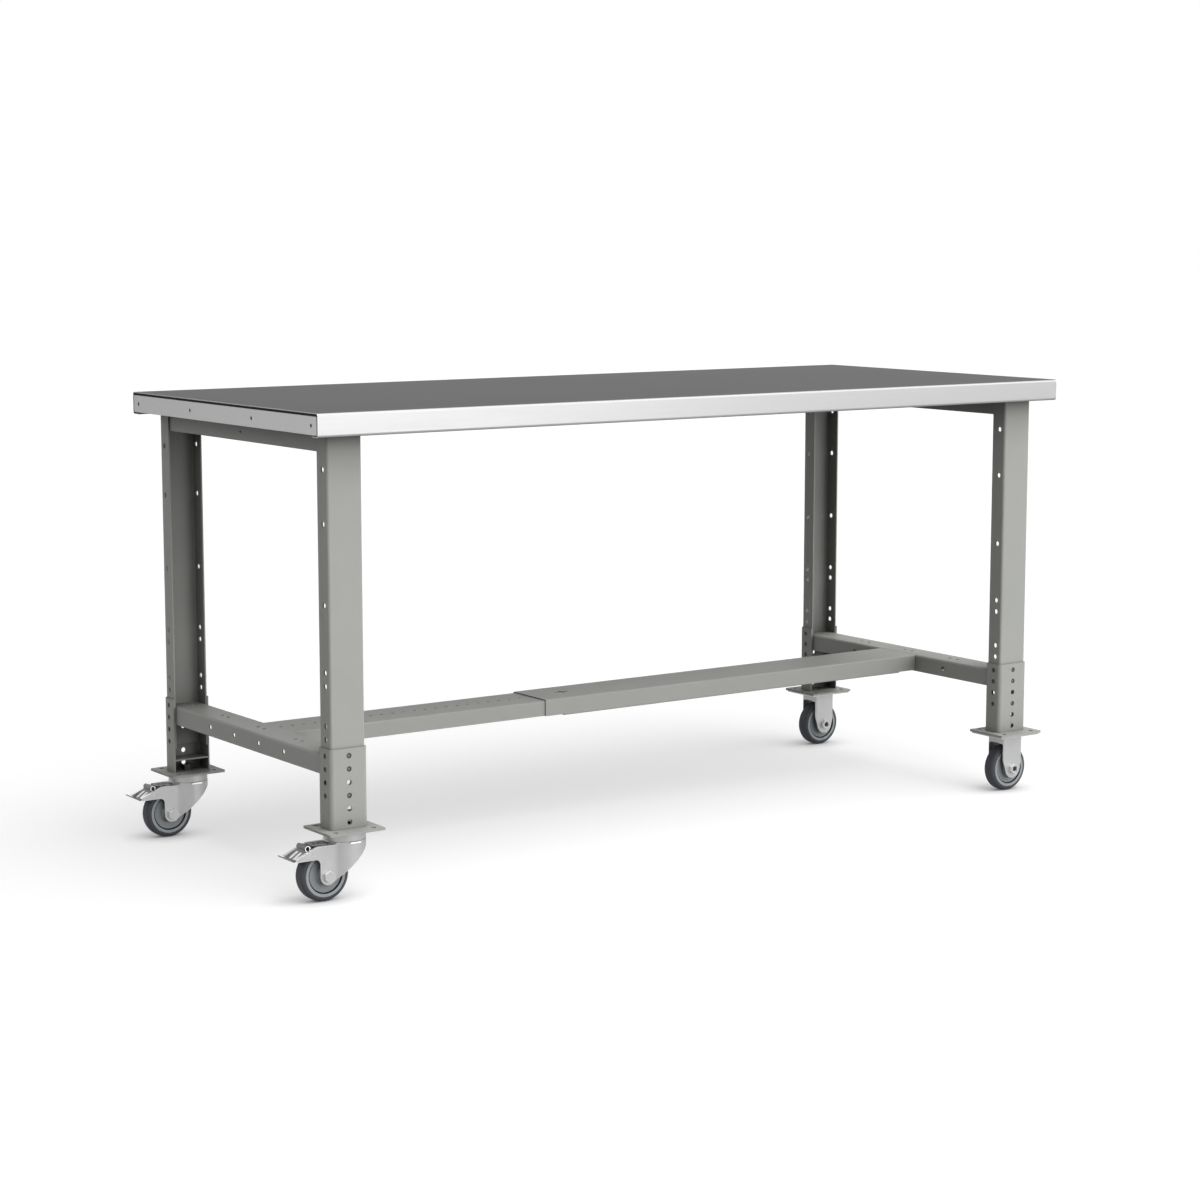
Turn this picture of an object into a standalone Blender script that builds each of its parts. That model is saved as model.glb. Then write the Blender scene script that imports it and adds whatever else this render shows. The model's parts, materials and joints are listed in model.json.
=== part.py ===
"""Mobile steel workbench: a wrapped stainless top on a punched channel frame with telescoping feet.

Metres, +Z up. +X runs along the bench and the front faces -Y. The origin is on the floor, under the middle of
the bench's bounding box.
"""

import math

import bmesh
import bpy
from mathutils import Matrix, Vector

# Worktop
TOP_LENGTH = 1.8288
TOP_DEPTH = 0.762
TOP_THICKNESS = 0.0446
SKIN_SHEET = 0.0019
SKIN_BEND = 0.005
SKIN_RETURN = 0.022
CORE_BOARD = 0.0383
CAP_SHEET = 0.002
CAP_TOP_GAP = 0.0044
CAP_SIDE_GAP = 0.0006
CAP_SCREW_INSET = 0.025
CAP_SCREW_PITCH = 0.254
CAP_SCREW_BORE = 0.0044

# Gap that stands for contact between two pieces
SEAT = 0.0003

# Uprights: punched C channels, with the web outwards
LEG_OVERHANG = 0.0394
UPRIGHT_LENGTH = 0.6837
UPRIGHT_WIDTH = 0.0731
UPRIGHT_DEPTH = 0.0373
UPRIGHT_SHEET = 0.003
UPRIGHT_BEND = 0.005
UPRIGHT_HOLE = 0.0105
FLANGE_HOLE_LINE = 0.0172
FIRST_FLANGE_HOLE = 0.0664
HOLE_PITCH = 0.025
FLANGE_HOLE_STEPS = (0, 4, 10, 15, 16, 19, 20)

# Feet: sleeves that slide on the uprights and are locked by their hole rows
UPRIGHT_INSERT = 0.1015
SLEEVE_HEIGHT = 0.1515
SLEEVE_DEPTH = 0.0412
SLEEVE_SHEET = 0.0027
SLEEVE_HOLE = 0.010
SLEEVE_FIRST_HOLE = 0.0143
SLEEVE_WEB_HOLES = 6
SLEEVE_FLANGE_HOLES = 4
LOCK_STEPS = 2
GUSSET_RISE = 0.0235
GUSSET_SHEET = 0.003
PLATE_LENGTH = 0.119
PLATE_WIDTH = 0.103
PLATE_SHEET = 0.0045
PLATE_CORNER = 0.003
PLATE_BOLTS_X = 0.080
PLATE_BOLTS_Y = 0.0765
PLATE_BOLT_BORE = 0.009

# Rails between the front and rear uprights
RAIL_SHEET = 0.0025
RAIL_BEND = 0.005
UPPER_RAIL_HEIGHT = 0.0350
UPPER_RAIL_BORE = 0.005
LOWER_RAIL_HEIGHT = 0.0373
LOWER_RAIL_DROP = 0.5976
RAIL_SIDE_BORE = 0.0095
RAIL_SIDE_PITCH = 0.1016
RAIL_SIDE_HOLES = 4
RAIL_TOP_BORE = 0.0065
RAIL_TOP_PITCH = 0.1524
RAIL_TOP_PAIRS = 5

# Telescoping stringer between the lower rails
STRINGER_WIDTH = 0.1218
STRINGER_SHEET = 0.002
STRINGER_BEND = 0.003
STRINGER_LIP = 0.018
STRINGER_OUTER_LENGTH = 1.0152
STRINGER_LAP = 0.200
LIP_SETBACK = 0.0475
LIP_NOTCH_RISE = 0.0025
ROW_BORE = 0.0055
ROW_START = 0.020
ROW_HOLES = 17
CROSS_SETBACK = 0.080
CROSS_LENGTH = 0.033
CROSS_WIDTH = 0.022
CROSS_SLOT = 0.005

# Wheels
WHEEL_RADIUS = 0.0508
TYRE_WIDTH = 0.030
TYRE_BAND = 0.0088
TYRE_SHOULDER = 0.009
RIM_RING = 0.0065
RIM_STEP = 0.0018
DISC_RECESS = 0.0025
HUB_RADIUS = 0.0145
AXLE_RADIUS = 0.006
AXLE_HEX = 0.019
AXLE_HEAD = 0.0075
AXLE_SLEEVE_WALL = 0.002
HUB_END_GAP = 0.0005

# Pressed forks, shared by both casters
FORK_WIDTH = 0.051
FORK_SHEET = 0.003

# Swivel caster
TRAIL = 0.049
CROWN_CLEARANCE = 0.0078
HEAD_RADIUS = 0.040
HEAD_SKIRT = 0.0057
NECK_RADIUS = 0.012
NECK_RUN = 0.003
LEG_STEP = 0.0039
LOBE_RADIUS = 0.0165
THROAT_RADIUS = 0.010
SHOULDER_REACH = 0.0707
NOSE_REACH = 0.117
NOSE_RISE = 0.0340
NOSE_HEIGHT = 0.0053
NOSE_RAKE = 0.003
LIP_WIDTH = 0.004
BRIDGE_REACH = 0.058
LUG_WIDTH = 0.022
LUG_HEIGHT = 0.003
LUG_PROUD = 0.0018
RACE_GAP = 0.0005
RACE_HEIGHT = 0.0158
RACE_EDGE = 0.002
KINGPIN_RADIUS = 0.006
KINGPIN_HEX = 0.019
KINGPIN_HEAD = 0.0075
KINGPIN_NUT = 0.010
KINGPIN_TAIL = 0.0027
RUNNING_GAP = 0.0004

# Total-lock brake, placed from the swivel axis and from the axle's height
PIN_REACH = 0.086
PIN_RISE = 0.0435
PIN_RADIUS = 0.003
PEDAL_SHEET = 0.0022
PEDAL_BEND = 0.003
PEDAL_SIDE_GAP = 0.0015
PEDAL_BACK_REACH = 0.0805
PEDAL_BACK_RISE = 0.0585
PEDAL_KNEE_REACH = 0.0895
PEDAL_KNEE_RISE = 0.0575
PEDAL_TOP_REACH = 0.0925
PEDAL_TOP_RISE = 0.0503
PEDAL_FOOT_REACH = 0.1155
PEDAL_FOOT_RISE = 0.0347
PEDAL_REACH = 0.131
PEDAL_TIP_RISE = 0.0430
PEDAL_HUB = 0.0045
TREAD_SLOTS = 2
TREAD_SLOT_LENGTH = 0.017
TREAD_SLOT_WIDTH = 0.0085
TREAD_SLOT_PITCH = 0.0136
LEAF_SHEET = 0.0015
LEAF_WIDTH = 0.030
LEAF_HEAD_GAP = 0.0022
LEAF_TAIL_GAP = 0.002
LEAF_BORE = 0.007
LEAF_CORNER = 0.005

# Fixed caster
RIGID_PLATE_INSET = 0.003
RIGID_PLATE_SHEET = 0.0032
RIGID_LENGTH = 0.055
RIGID_CORNER = 0.005
RIGID_LOBE = 0.0208
RIGID_TAPER_RISE = 0.0212
RIGID_END_WALL = 0.016
RIGID_ARCH = 0.003

# Facets
BEND_STEPS = 2
HOLE_SIDES = 6
SHAFT_SIDES = 10
WHEEL_SIDES = 22
SHARP_ANGLE = 32
CUT_MARGIN = 0.02

# Heights above the floor
AXLE_Z = WHEEL_RADIUS
CROWN_UNDER = AXLE_Z + WHEEL_RADIUS + CROWN_CLEARANCE
CROWN_TOP = CROWN_UNDER + FORK_SHEET
LEG_TOP = CROWN_TOP - LEG_STEP
RACE_TOP = CROWN_TOP + RACE_GAP + RACE_HEIGHT
PLATE_BOTTOM = RACE_TOP + SEAT
PLATE_TOP = PLATE_BOTTOM + PLATE_SHEET
SLEEVE_BOTTOM = PLATE_TOP + SEAT
SLEEVE_TOP = SLEEVE_BOTTOM + SLEEVE_HEIGHT
UPRIGHT_BOTTOM = SLEEVE_TOP - UPRIGHT_INSERT
UPRIGHT_TOP = UPRIGHT_BOTTOM + UPRIGHT_LENGTH
CORE_BOTTOM = UPRIGHT_TOP + SEAT
CORE_TOP = CORE_BOTTOM + CORE_BOARD
BENCH_HEIGHT = CORE_TOP + SEAT + SKIN_SHEET
LOWER_RAIL_TOP = UPRIGHT_TOP - LOWER_RAIL_DROP

# Places in plan, from the middle of the worktop
UPRIGHT_FACE_Y = TOP_DEPTH / 2 - LEG_OVERHANG
SLEEVE_FACE_Y = UPRIGHT_FACE_Y + SEAT + SLEEVE_SHEET
FOOT_Y = SLEEVE_FACE_Y - SLEEVE_DEPTH / 2
FOOT_X = TOP_LENGTH / 2 - LEG_OVERHANG - UPRIGHT_WIDTH / 2
RAIL_WIDTH = UPRIGHT_WIDTH - 2 * (UPRIGHT_SHEET + SEAT)
RAIL_HALF_LENGTH = UPRIGHT_FACE_Y - UPRIGHT_BEND
STRINGER_END_X = FOOT_X - RAIL_WIDTH / 2 - SEAT
OUTER_START_X = STRINGER_END_X - STRINGER_OUTER_LENGTH
FORK_INNER = FORK_WIDTH / 2 - FORK_SHEET
BENCH_X = (max(FOOT_X + PEDAL_REACH, TOP_LENGTH / 2) - TOP_LENGTH / 2) / 2

SIDES = {"left": -1, "right": 1}
ENDS = {"front": -1, "rear": 1}


def material(name, colour, roughness, metallic):
    made = bpy.data.materials.new(name)
    made.use_nodes = True
    shader = made.node_tree.nodes["Principled BSDF"]
    shader.inputs["Base Color"].default_value = (*colour, 1)
    shader.inputs["Roughness"].default_value = roughness
    shader.inputs["Metallic"].default_value = metallic
    return made


def arc(centre, radius, start, end, steps):
    """Points from one angle to the other, in degrees, both ends included."""
    turns = [math.radians(start + (end - start) * i / steps) for i in range(steps + 1)]
    return [(centre[0] + radius * math.cos(t), centre[1] + radius * math.sin(t)) for t in turns]


def tangent_angle(centre, radius, point, side):
    """Direction, in degrees, from a circle's centre to where a line from the point touches it."""
    run, rise = point[0] - centre[0], point[1] - centre[1]
    spread = math.degrees(math.acos(radius / math.hypot(run, rise)))
    return math.degrees(math.atan2(rise, run)) + side * spread


def rounded(corners, steps=BEND_STEPS):
    """Closed outline through (a, b, radius) corners, with an arc at each corner that has a radius."""
    outline = []
    for i, (a, b, radius) in enumerate(corners):
        here = Vector((a, b))
        if not radius:
            outline.append((a, b))
            continue
        back = (Vector(corners[i - 1][:2]) - here).normalized()
        ahead = (Vector(corners[(i + 1) % len(corners)][:2]) - here).normalized()
        half = back.angle(ahead) / 2
        centre = here + (back + ahead).normalized() * radius / math.sin(half)
        first = here + back * radius / math.tan(half) - centre
        last = here + ahead * radius / math.tan(half) - centre
        turn = first.angle_signed(last)
        for k in range(steps + 1):
            spoke = first.copy()
            spoke.rotate(Matrix.Rotation(-turn * k / steps, 2))
            outline.append(tuple(centre + spoke))
    return outline


def sheet_outline(path, sheet, bend):
    """Closed outline of a bent sheet: one face follows the path, and its thickness is on the path's left."""
    points = [Vector(p) for p in path]
    runs = [(b - a).normalized() for a, b in zip(points, points[1:])]
    face, back = [], []
    for i, point in enumerate(points):
        into, out = runs[max(i - 1, 0)], runs[min(i, len(runs) - 1)]
        left = (into.orthogonal() + out.orthogonal()).normalized()
        inner = point + left * sheet / left.dot(into.orthogonal())
        turn = into.cross(out)
        outside = bend if turn > 0 else bend - sheet
        inside = bend - sheet if turn > 0 else bend
        ends = i in (0, len(points) - 1)
        face.append((*point, 0 if ends else outside))
        back.append((*inner, 0 if ends else inside))
    return rounded(face + back[::-1])


def mesh_object(shape):
    bmesh.ops.recalc_face_normals(shape, faces=shape.faces)
    data = bpy.data.meshes.new("shape")
    shape.to_mesh(data)
    shape.free()
    made = bpy.data.objects.new("shape", data)
    bpy.context.scene.collection.objects.link(made)
    return made


def prism(outline, axis, low, high):
    """Outline drawn in the plane across the axis and extruded along it."""
    places = {"X": lambda a, b: (low, a, b), "Y": lambda a, b: (a, low, b), "Z": lambda a, b: (a, b, low)}
    along = {"X": (1, 0, 0), "Y": (0, 1, 0), "Z": (0, 0, 1)}[axis]
    shape = bmesh.new()
    face = shape.faces.new([shape.verts.new(places[axis](a, b)) for a, b in outline])
    grown = bmesh.ops.extrude_face_region(shape, geom=[face])["geom"]
    moved = [item for item in grown if isinstance(item, bmesh.types.BMVert)]
    bmesh.ops.translate(shape, verts=moved, vec=Vector(along) * (high - low))
    return mesh_object(shape)


def block(low, high):
    outline = [(low[0], low[1]), (high[0], low[1]), (high[0], high[1]), (low[0], high[1])]
    return prism(outline, "Z", low[2], high[2])


def turned(profile, sides):
    """Closed (radius, height) profile turned about Z, with the middles of its flats on the true radius."""
    flats = 1 / math.cos(math.pi / sides)
    shape = bmesh.new()
    verts = [shape.verts.new((radius * flats, 0, height)) for radius, height in profile]
    edges = [shape.edges.new((a, b)) for a, b in zip(verts, verts[1:] + verts[:1])]
    bmesh.ops.spin(
        shape, geom=verts + edges, axis=(0, 0, 1), cent=(0, 0, 0), steps=sides, angle=math.tau, use_merge=True
    )
    return mesh_object(shape)


def rods(radius, axis, places, length, sides):
    """Cylinders along one axis, centred on the places, as one mesh. Their flats touch the true radius."""
    right = math.pi / 2
    turn = {"X": Matrix.Rotation(right, 4, "Y"), "Y": Matrix.Rotation(right, 4, "X"), "Z": Matrix()}
    corner = radius / math.cos(math.pi / sides)
    shape = bmesh.new()
    for place in places:
        bmesh.ops.create_cone(
            shape, cap_ends=True, segments=sides, radius1=corner, radius2=corner, depth=length,
            matrix=Matrix.Translation(place) @ turn[axis],
        )
    return mesh_object(shape)


def hexagon(across_flats, axis, low, high):
    corner = across_flats / 2 / math.cos(math.pi / 6)
    return prism(arc((0, 0), corner, 30, 330, 5), axis, low, high)


def combine(target, other, operation):
    """Boolean with the other object, which is used up."""
    step = target.modifiers.new("combine", "BOOLEAN")
    step.operation = operation
    step.solver = "EXACT"
    step.object = other
    graph = bpy.context.evaluated_depsgraph_get()
    result = bpy.data.meshes.new_from_object(target.evaluated_get(graph))
    target.modifiers.clear()
    target.data = result
    bpy.data.objects.remove(other)
    return target


def cut(target, *cutters):
    for cutter in cutters:
        combine(target, cutter, "DIFFERENCE")
    return target


def join(target, *others):
    for other in others:
        combine(target, other, "UNION")
    return target


def drill(target, bore, axis, places, length, sides=HOLE_SIDES):
    return cut(target, rods(bore / 2, axis, places, length, sides))


def shift(made, offset):
    made.data.transform(Matrix.Translation(offset))
    return made


def about_y(made):
    """Turns a piece made about Z so that it lies along Y."""
    made.data.transform(Matrix.Rotation(math.pi / 2, 4, "X"))
    return made


def row(count, pitch):
    """Places along a line, evenly about its middle."""
    return [(i - (count - 1) / 2) * pitch for i in range(count)]


def top_skin():
    half, low = TOP_DEPTH / 2, BENCH_HEIGHT - TOP_THICKNESS
    path = [(half - SKIN_RETURN, low), (half, low), (half, BENCH_HEIGHT)]
    path += [(-a, b) for a, b in path[::-1]]
    return prism(sheet_outline(path, SKIN_SHEET, SKIN_BEND), "X", -TOP_LENGTH / 2, TOP_LENGTH / 2)


def top_core():
    half, r = TOP_DEPTH / 2 - SKIN_SHEET - SEAT, SKIN_BEND
    corners = [(-half, CORE_BOTTOM, r), (half, CORE_BOTTOM, r), (half, CORE_TOP, r), (-half, CORE_TOP, r)]
    reach = TOP_LENGTH / 2 - CAP_SHEET - SEAT
    return prism(rounded(corners), "X", -reach, reach)


def end_cap():
    """Strip over the worktop's left end, with its outer face at x = 0."""
    half = TOP_DEPTH / 2 - SKIN_SHEET - CAP_SIDE_GAP
    low, high = CORE_BOTTOM, BENCH_HEIGHT - SKIN_SHEET - CAP_TOP_GAP
    made = prism([(-half, low), (half, low), (half, high), (-half, high)], "X", 0, CAP_SHEET)
    outer, inner, middle = TOP_DEPTH / 2 - CAP_SCREW_INSET, CAP_SCREW_PITCH / 2, (low + high) / 2
    places = [(0, y, middle) for y in (-outer, -inner, inner, outer)]
    return drill(made, CAP_SCREW_BORE, "X", places, CUT_MARGIN)


def channel(width, depth, sheet, bend, low, high):
    """C channel with its web's outer face at y = 0 and its flanges towards +Y."""
    path = [(-width / 2, depth), (-width / 2, 0), (width / 2, 0), (width / 2, depth)]
    return prism(sheet_outline(path, sheet, bend), "Z", low, high)


def sleeve_hole_heights(count):
    return [SLEEVE_TOP - SLEEVE_FIRST_HOLE - i * HOLE_PITCH for i in range(count)]


def upright():
    made = channel(UPRIGHT_WIDTH, UPRIGHT_DEPTH, UPRIGHT_SHEET, UPRIGHT_BEND, UPRIGHT_BOTTOM, UPRIGHT_TOP)
    lock = sleeve_hole_heights(SLEEVE_FLANGE_HOLES)[LOCK_STEPS]
    heights = [UPRIGHT_TOP - FIRST_FLANGE_HOLE - step * HOLE_PITCH for step in FLANGE_HOLE_STEPS]
    flange = [(0, FLANGE_HOLE_LINE, z) for z in heights + [lock]]
    drill(made, UPRIGHT_HOLE, "X", flange, UPRIGHT_WIDTH + CUT_MARGIN)
    drill(made, SLEEVE_HOLE, "Y", [(0, 0, lock)], CUT_MARGIN)
    return shift(made, (0, FOOT_Y - UPRIGHT_FACE_Y, 0))


def foot_sleeve():
    width = UPRIGHT_WIDTH + 2 * (SEAT + SLEEVE_SHEET)
    bend = UPRIGHT_BEND + SEAT + SLEEVE_SHEET
    made = channel(width, SLEEVE_DEPTH, SLEEVE_SHEET, bend, SLEEVE_BOTTOM, SLEEVE_TOP)
    line = FLANGE_HOLE_LINE + SEAT + SLEEVE_SHEET
    flange = [(0, line, z) for z in sleeve_hole_heights(SLEEVE_FLANGE_HOLES)]
    web = [(0, 0, z) for z in sleeve_hole_heights(SLEEVE_WEB_HOLES)]
    drill(made, SLEEVE_HOLE, "X", flange, width + CUT_MARGIN)
    drill(made, SLEEVE_HOLE, "Y", web, CUT_MARGIN)
    return shift(made, (0, -SLEEVE_DEPTH / 2, 0))


def foot_gusset():
    half = UPRIGHT_WIDTH / 2
    front, back = SLEEVE_SHEET + SEAT - SLEEVE_DEPTH / 2, SLEEVE_DEPTH / 2
    corners = [(-half, front, UPRIGHT_BEND), (half, front, UPRIGHT_BEND), (half, back, 0), (-half, back, 0)]
    low = PLATE_TOP + GUSSET_RISE
    return prism(rounded(corners), "Z", low, low + GUSSET_SHEET)


def drilled_plate(length, width, low, high):
    x, y, r = length / 2, width / 2, PLATE_CORNER
    made = prism(rounded([(-x, -y, r), (x, -y, r), (x, y, r), (-x, y, r)]), "Z", low, high)
    bolts = [(a * PLATE_BOLTS_X / 2, b * PLATE_BOLTS_Y / 2, low) for a in (-1, 1) for b in (-1, 1)]
    return drill(made, PLATE_BOLT_BORE, "Z", bolts, CUT_MARGIN)


def base_plate():
    made = drilled_plate(PLATE_LENGTH, PLATE_WIDTH, PLATE_BOTTOM, PLATE_TOP)
    return drill(made, 2 * (KINGPIN_RADIUS + RUNNING_GAP), "Z", [(0, 0, PLATE_TOP)], CUT_MARGIN, SHAFT_SIDES)


def rail(height, top):
    """Inverted channel along Y, with its top face at the given height."""
    half = RAIL_WIDTH / 2
    path = [(half, top - height), (half, top), (-half, top), (-half, top - height)]
    return prism(sheet_outline(path, RAIL_SHEET, RAIL_BEND), "Y", -RAIL_HALF_LENGTH, RAIL_HALF_LENGTH)


def upper_rail():
    made = rail(UPPER_RAIL_HEIGHT, UPRIGHT_TOP)
    middle = UPRIGHT_TOP - UPPER_RAIL_HEIGHT / 2
    return drill(made, UPPER_RAIL_BORE, "X", [(0, 0, middle)], RAIL_WIDTH + CUT_MARGIN)


def lower_rail():
    made = rail(LOWER_RAIL_HEIGHT, LOWER_RAIL_TOP)
    middle = LOWER_RAIL_TOP - LOWER_RAIL_HEIGHT / 2
    side = [(0, y, middle) for y in row(RAIL_SIDE_HOLES, RAIL_SIDE_PITCH)]
    pairs = [y + dy for y in row(RAIL_TOP_PAIRS, RAIL_TOP_PITCH) for dy in row(2, HOLE_PITCH)]
    drill(made, RAIL_SIDE_BORE, "X", side, RAIL_WIDTH + CUT_MARGIN)
    return drill(made, RAIL_TOP_BORE, "Z", [(0, y, LOWER_RAIL_TOP) for y in pairs], CUT_MARGIN)


def stringer_outer():
    """Right half of the beam: channel with lips turned in at the bottom, cut away at both ends."""
    half, low = STRINGER_WIDTH / 2, LOWER_RAIL_TOP - LOWER_RAIL_HEIGHT
    inside = half - STRINGER_LIP
    path = [(inside, low), (half, low), (half, LOWER_RAIL_TOP)]
    path += [(-a, b) for a, b in path[::-1]]
    outline = sheet_outline(path, STRINGER_SHEET, STRINGER_BEND)
    made = prism(outline, "X", OUTER_START_X, STRINGER_END_X)
    reach = half + CUT_MARGIN
    for start, end in (
        (OUTER_START_X - CUT_MARGIN, OUTER_START_X + LIP_SETBACK),
        (STRINGER_END_X - LIP_SETBACK, STRINGER_END_X + CUT_MARGIN),
    ):
        cut(made, block((start, -reach, low - CUT_MARGIN), (end, reach, low + LIP_NOTCH_RISE)))
    x = OUTER_START_X + CROSS_SETBACK
    for a, b in ((CROSS_LENGTH / 2, CROSS_SLOT / 2), (CROSS_SLOT / 2, CROSS_WIDTH / 2)):
        level = LOWER_RAIL_TOP - CUT_MARGIN / 2
        cut(made, block((x - a, -b, level), (x + a, b, level + CUT_MARGIN)))
    return made


def stringer_inner():
    """Left half of the beam, which slides into the other one."""
    half = STRINGER_WIDTH / 2 - STRINGER_SHEET - SEAT
    top = LOWER_RAIL_TOP - STRINGER_SHEET - SEAT
    low = LOWER_RAIL_TOP - LOWER_RAIL_HEIGHT + STRINGER_BEND + SEAT
    path = [(half, low), (half, top), (-half, top), (-half, low)]
    outline = sheet_outline(path, STRINGER_SHEET, STRINGER_BEND)
    made = prism(outline, "X", -STRINGER_END_X, OUTER_START_X + STRINGER_LAP)
    places = [(OUTER_START_X - ROW_START - i * HOLE_PITCH, 0, top) for i in range(ROW_HOLES)]
    return drill(made, ROW_BORE, "Z", places, CUT_MARGIN)


def tyre():
    outer, inner, half, r = WHEEL_RADIUS, WHEEL_RADIUS - TYRE_BAND, TYRE_WIDTH / 2, TYRE_SHOULDER
    shoulder = arc((outer - r, half - r), r, 0, 90, BEND_STEPS)
    profile = shoulder + [(inner, half)]
    profile += [(radius, -height) for radius, height in profile[::-1]]
    return about_y(turned(profile, WHEEL_SIDES))


def wheel_core():
    rim = WHEEL_RADIUS - TYRE_BAND - SEAT
    ring = rim - RIM_RING
    disc = ring - RIM_STEP
    face = TYRE_WIDTH / 2 - SEAT
    recess = face - DISC_RECESS
    hub_end = FORK_INNER - HUB_END_GAP
    bore = AXLE_RADIUS + AXLE_SLEEVE_WALL + 2 * SEAT
    profile = [(rim, face), (ring, face), (disc, recess)]
    profile += [(HUB_RADIUS, recess), (HUB_RADIUS, hub_end), (bore, hub_end)]
    profile += [(radius, -height) for radius, height in profile[::-1]]
    return about_y(turned(profile, WHEEL_SIDES))


def axle_sleeve():
    inner = AXLE_RADIUS + SEAT
    outer = AXLE_RADIUS + AXLE_SLEEVE_WALL
    end = FORK_INNER - SEAT
    return about_y(turned([(outer, end), (inner, end), (inner, -end), (outer, -end)], SHAFT_SIDES))


def axle():
    """Bolt with its head towards -Y and a nut at the other end."""
    seat = FORK_WIDTH / 2 + SEAT
    shank = about_y(turned_rod(AXLE_RADIUS, -seat - AXLE_HEAD / 2, seat + AXLE_HEAD / 2))
    head = hexagon(AXLE_HEX, "Y", -seat - AXLE_HEAD, -seat)
    nut = hexagon(AXLE_HEX, "Y", seat, seat + AXLE_HEAD)
    return join(shank, head, nut)


def turned_rod(radius, low, high, sides=SHAFT_SIDES):
    return prism(arc((0, 0), radius, 0, 360 - 360 / sides, sides - 1), "Z", low, high)


def fork_plan(head, half, neck, reach):
    """Outline from above: a round head with two straight legs that reach towards -X."""
    back = math.sqrt((head + neck) ** 2 - (half + neck) ** 2)
    touch = math.degrees(math.atan2(half + neck, -back))
    lower = arc((-back, -half - neck), neck, 90, 180 - touch, BEND_STEPS)
    round_head = arc((0, 0), head, -touch, touch, 2 * WHEEL_SIDES // 3)
    outline = [(-reach, -half)] + lower + round_head[1:-1]
    return outline + [(a, -b) for a, b in lower[::-1]] + [(-reach, half)]


def fork_top(drop):
    """Points along the top of the swivel fork, from the back of its head to past its nose."""
    slope = (LEG_TOP - AXLE_Z - NOSE_RISE - NOSE_HEIGHT) / (NOSE_REACH - SHOULDER_REACH)
    neck = math.sqrt(HEAD_RADIUS**2 - (FORK_WIDTH / 2) ** 2)
    return [
        (HEAD_RADIUS + CUT_MARGIN, CROWN_TOP - drop),
        (-neck, CROWN_TOP - drop),
        (-neck - NECK_RUN, LEG_TOP - drop),
        (-SHOULDER_REACH, LEG_TOP - drop),
        (-NOSE_REACH - CUT_MARGIN, LEG_TOP - drop - slope * (NOSE_REACH + CUT_MARGIN - SHOULDER_REACH)),
    ]


def swivel_fork():
    """Pressed fork about the swivel axis: its plan is extruded, cut to its side view and hollowed."""
    axle_place = (-TRAIL, AXLE_Z)
    skirt = (HEAD_RADIUS, CROWN_TOP - HEAD_SKIRT)
    end = tangent_angle(axle_place, LOBE_RADIUS, skirt, -1) + 360
    nose_low = AXLE_Z + NOSE_RISE
    top = fork_top(0)
    front = rounded(
        [
            (*top[3], 0),
            (-NOSE_REACH, nose_low + NOSE_HEIGHT, 0),
            (-NOSE_REACH + NOSE_RAKE, nose_low, 0),
            (-TRAIL - LOBE_RADIUS, nose_low, THROAT_RADIUS),
            (-TRAIL - LOBE_RADIUS, AXLE_Z, 0),
        ]
    )
    lobe = arc(axle_place, LOBE_RADIUS, 180, end, 2 * BEND_STEPS)
    side = [(HEAD_RADIUS, CROWN_TOP)] + top[1:3] + front + lobe[1:] + [skirt]
    reach = NOSE_REACH + CUT_MARGIN
    width = HEAD_RADIUS + CUT_MARGIN
    made = prism(fork_plan(HEAD_RADIUS, FORK_WIDTH / 2, NECK_RADIUS, reach), "Z", 0, CROWN_TOP + CUT_MARGIN)
    combine(made, prism(side, "Y", -width, width), "INTERSECT")
    inner_head, inner_neck = HEAD_RADIUS - FORK_SHEET, NECK_RADIUS + FORK_SHEET
    inner_plan = fork_plan(inner_head, FORK_INNER, inner_neck, reach + CUT_MARGIN / 2)
    hollow = prism(inner_plan, "Z", -CUT_MARGIN, CROWN_TOP + CUT_MARGIN)
    under = fork_top(FORK_SHEET)
    floor = [(under[-1][0], -2 * CUT_MARGIN), (under[0][0], -2 * CUT_MARGIN)]
    combine(hollow, prism(under + floor, "Y", -width, width), "INTERSECT")
    opening = FORK_INNER - LIP_WIDTH
    mouth = block((-reach - CUT_MARGIN, -opening, AXLE_Z), (-BRIDGE_REACH, opening, CROWN_TOP + CUT_MARGIN))
    cut(made, hollow, mouth)
    lug = block(
        (-LUG_WIDTH / 2, -HEAD_RADIUS - LUG_PROUD, CROWN_TOP - LUG_HEIGHT),
        (LUG_WIDTH / 2, -HEAD_RADIUS + FORK_SHEET, CROWN_TOP),
    )
    join(made, lug)
    drill(made, 2 * (AXLE_RADIUS + SEAT), "Y", [(-TRAIL, 0, AXLE_Z)], 2 * width, SHAFT_SIDES)
    drill(made, 2 * (PIN_RADIUS + SEAT), "Y", [(-PIN_REACH, 0, AXLE_Z + PIN_RISE)], 2 * width)
    return drill(made, 2 * (KINGPIN_RADIUS + RUNNING_GAP), "Z", [(0, 0, CROWN_TOP)], CUT_MARGIN, SHAFT_SIDES)


def race_cap():
    outer, inner = HEAD_RADIUS - RACE_GAP, KINGPIN_RADIUS + SEAT
    low, high = CROWN_TOP + RACE_GAP, RACE_TOP
    profile = [
        (inner, high), (inner, low), (outer - RACE_EDGE, low), (outer, low + RACE_EDGE), (outer, high),
    ]
    return turned(profile[::-1], WHEEL_SIDES)


def kingpin():
    """Bolt from under the fork's crown, with its nut on the base plate."""
    under = CROWN_UNDER - SEAT
    nut_low = PLATE_TOP + SEAT
    shank = turned_rod(KINGPIN_RADIUS, under - KINGPIN_HEAD / 2, nut_low + KINGPIN_NUT + KINGPIN_TAIL)
    head = hexagon(KINGPIN_HEX, "Z", under - KINGPIN_HEAD, under)
    nut = hexagon(KINGPIN_HEX, "Z", nut_low, nut_low + KINGPIN_NUT)
    return join(shank, head, nut)


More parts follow.
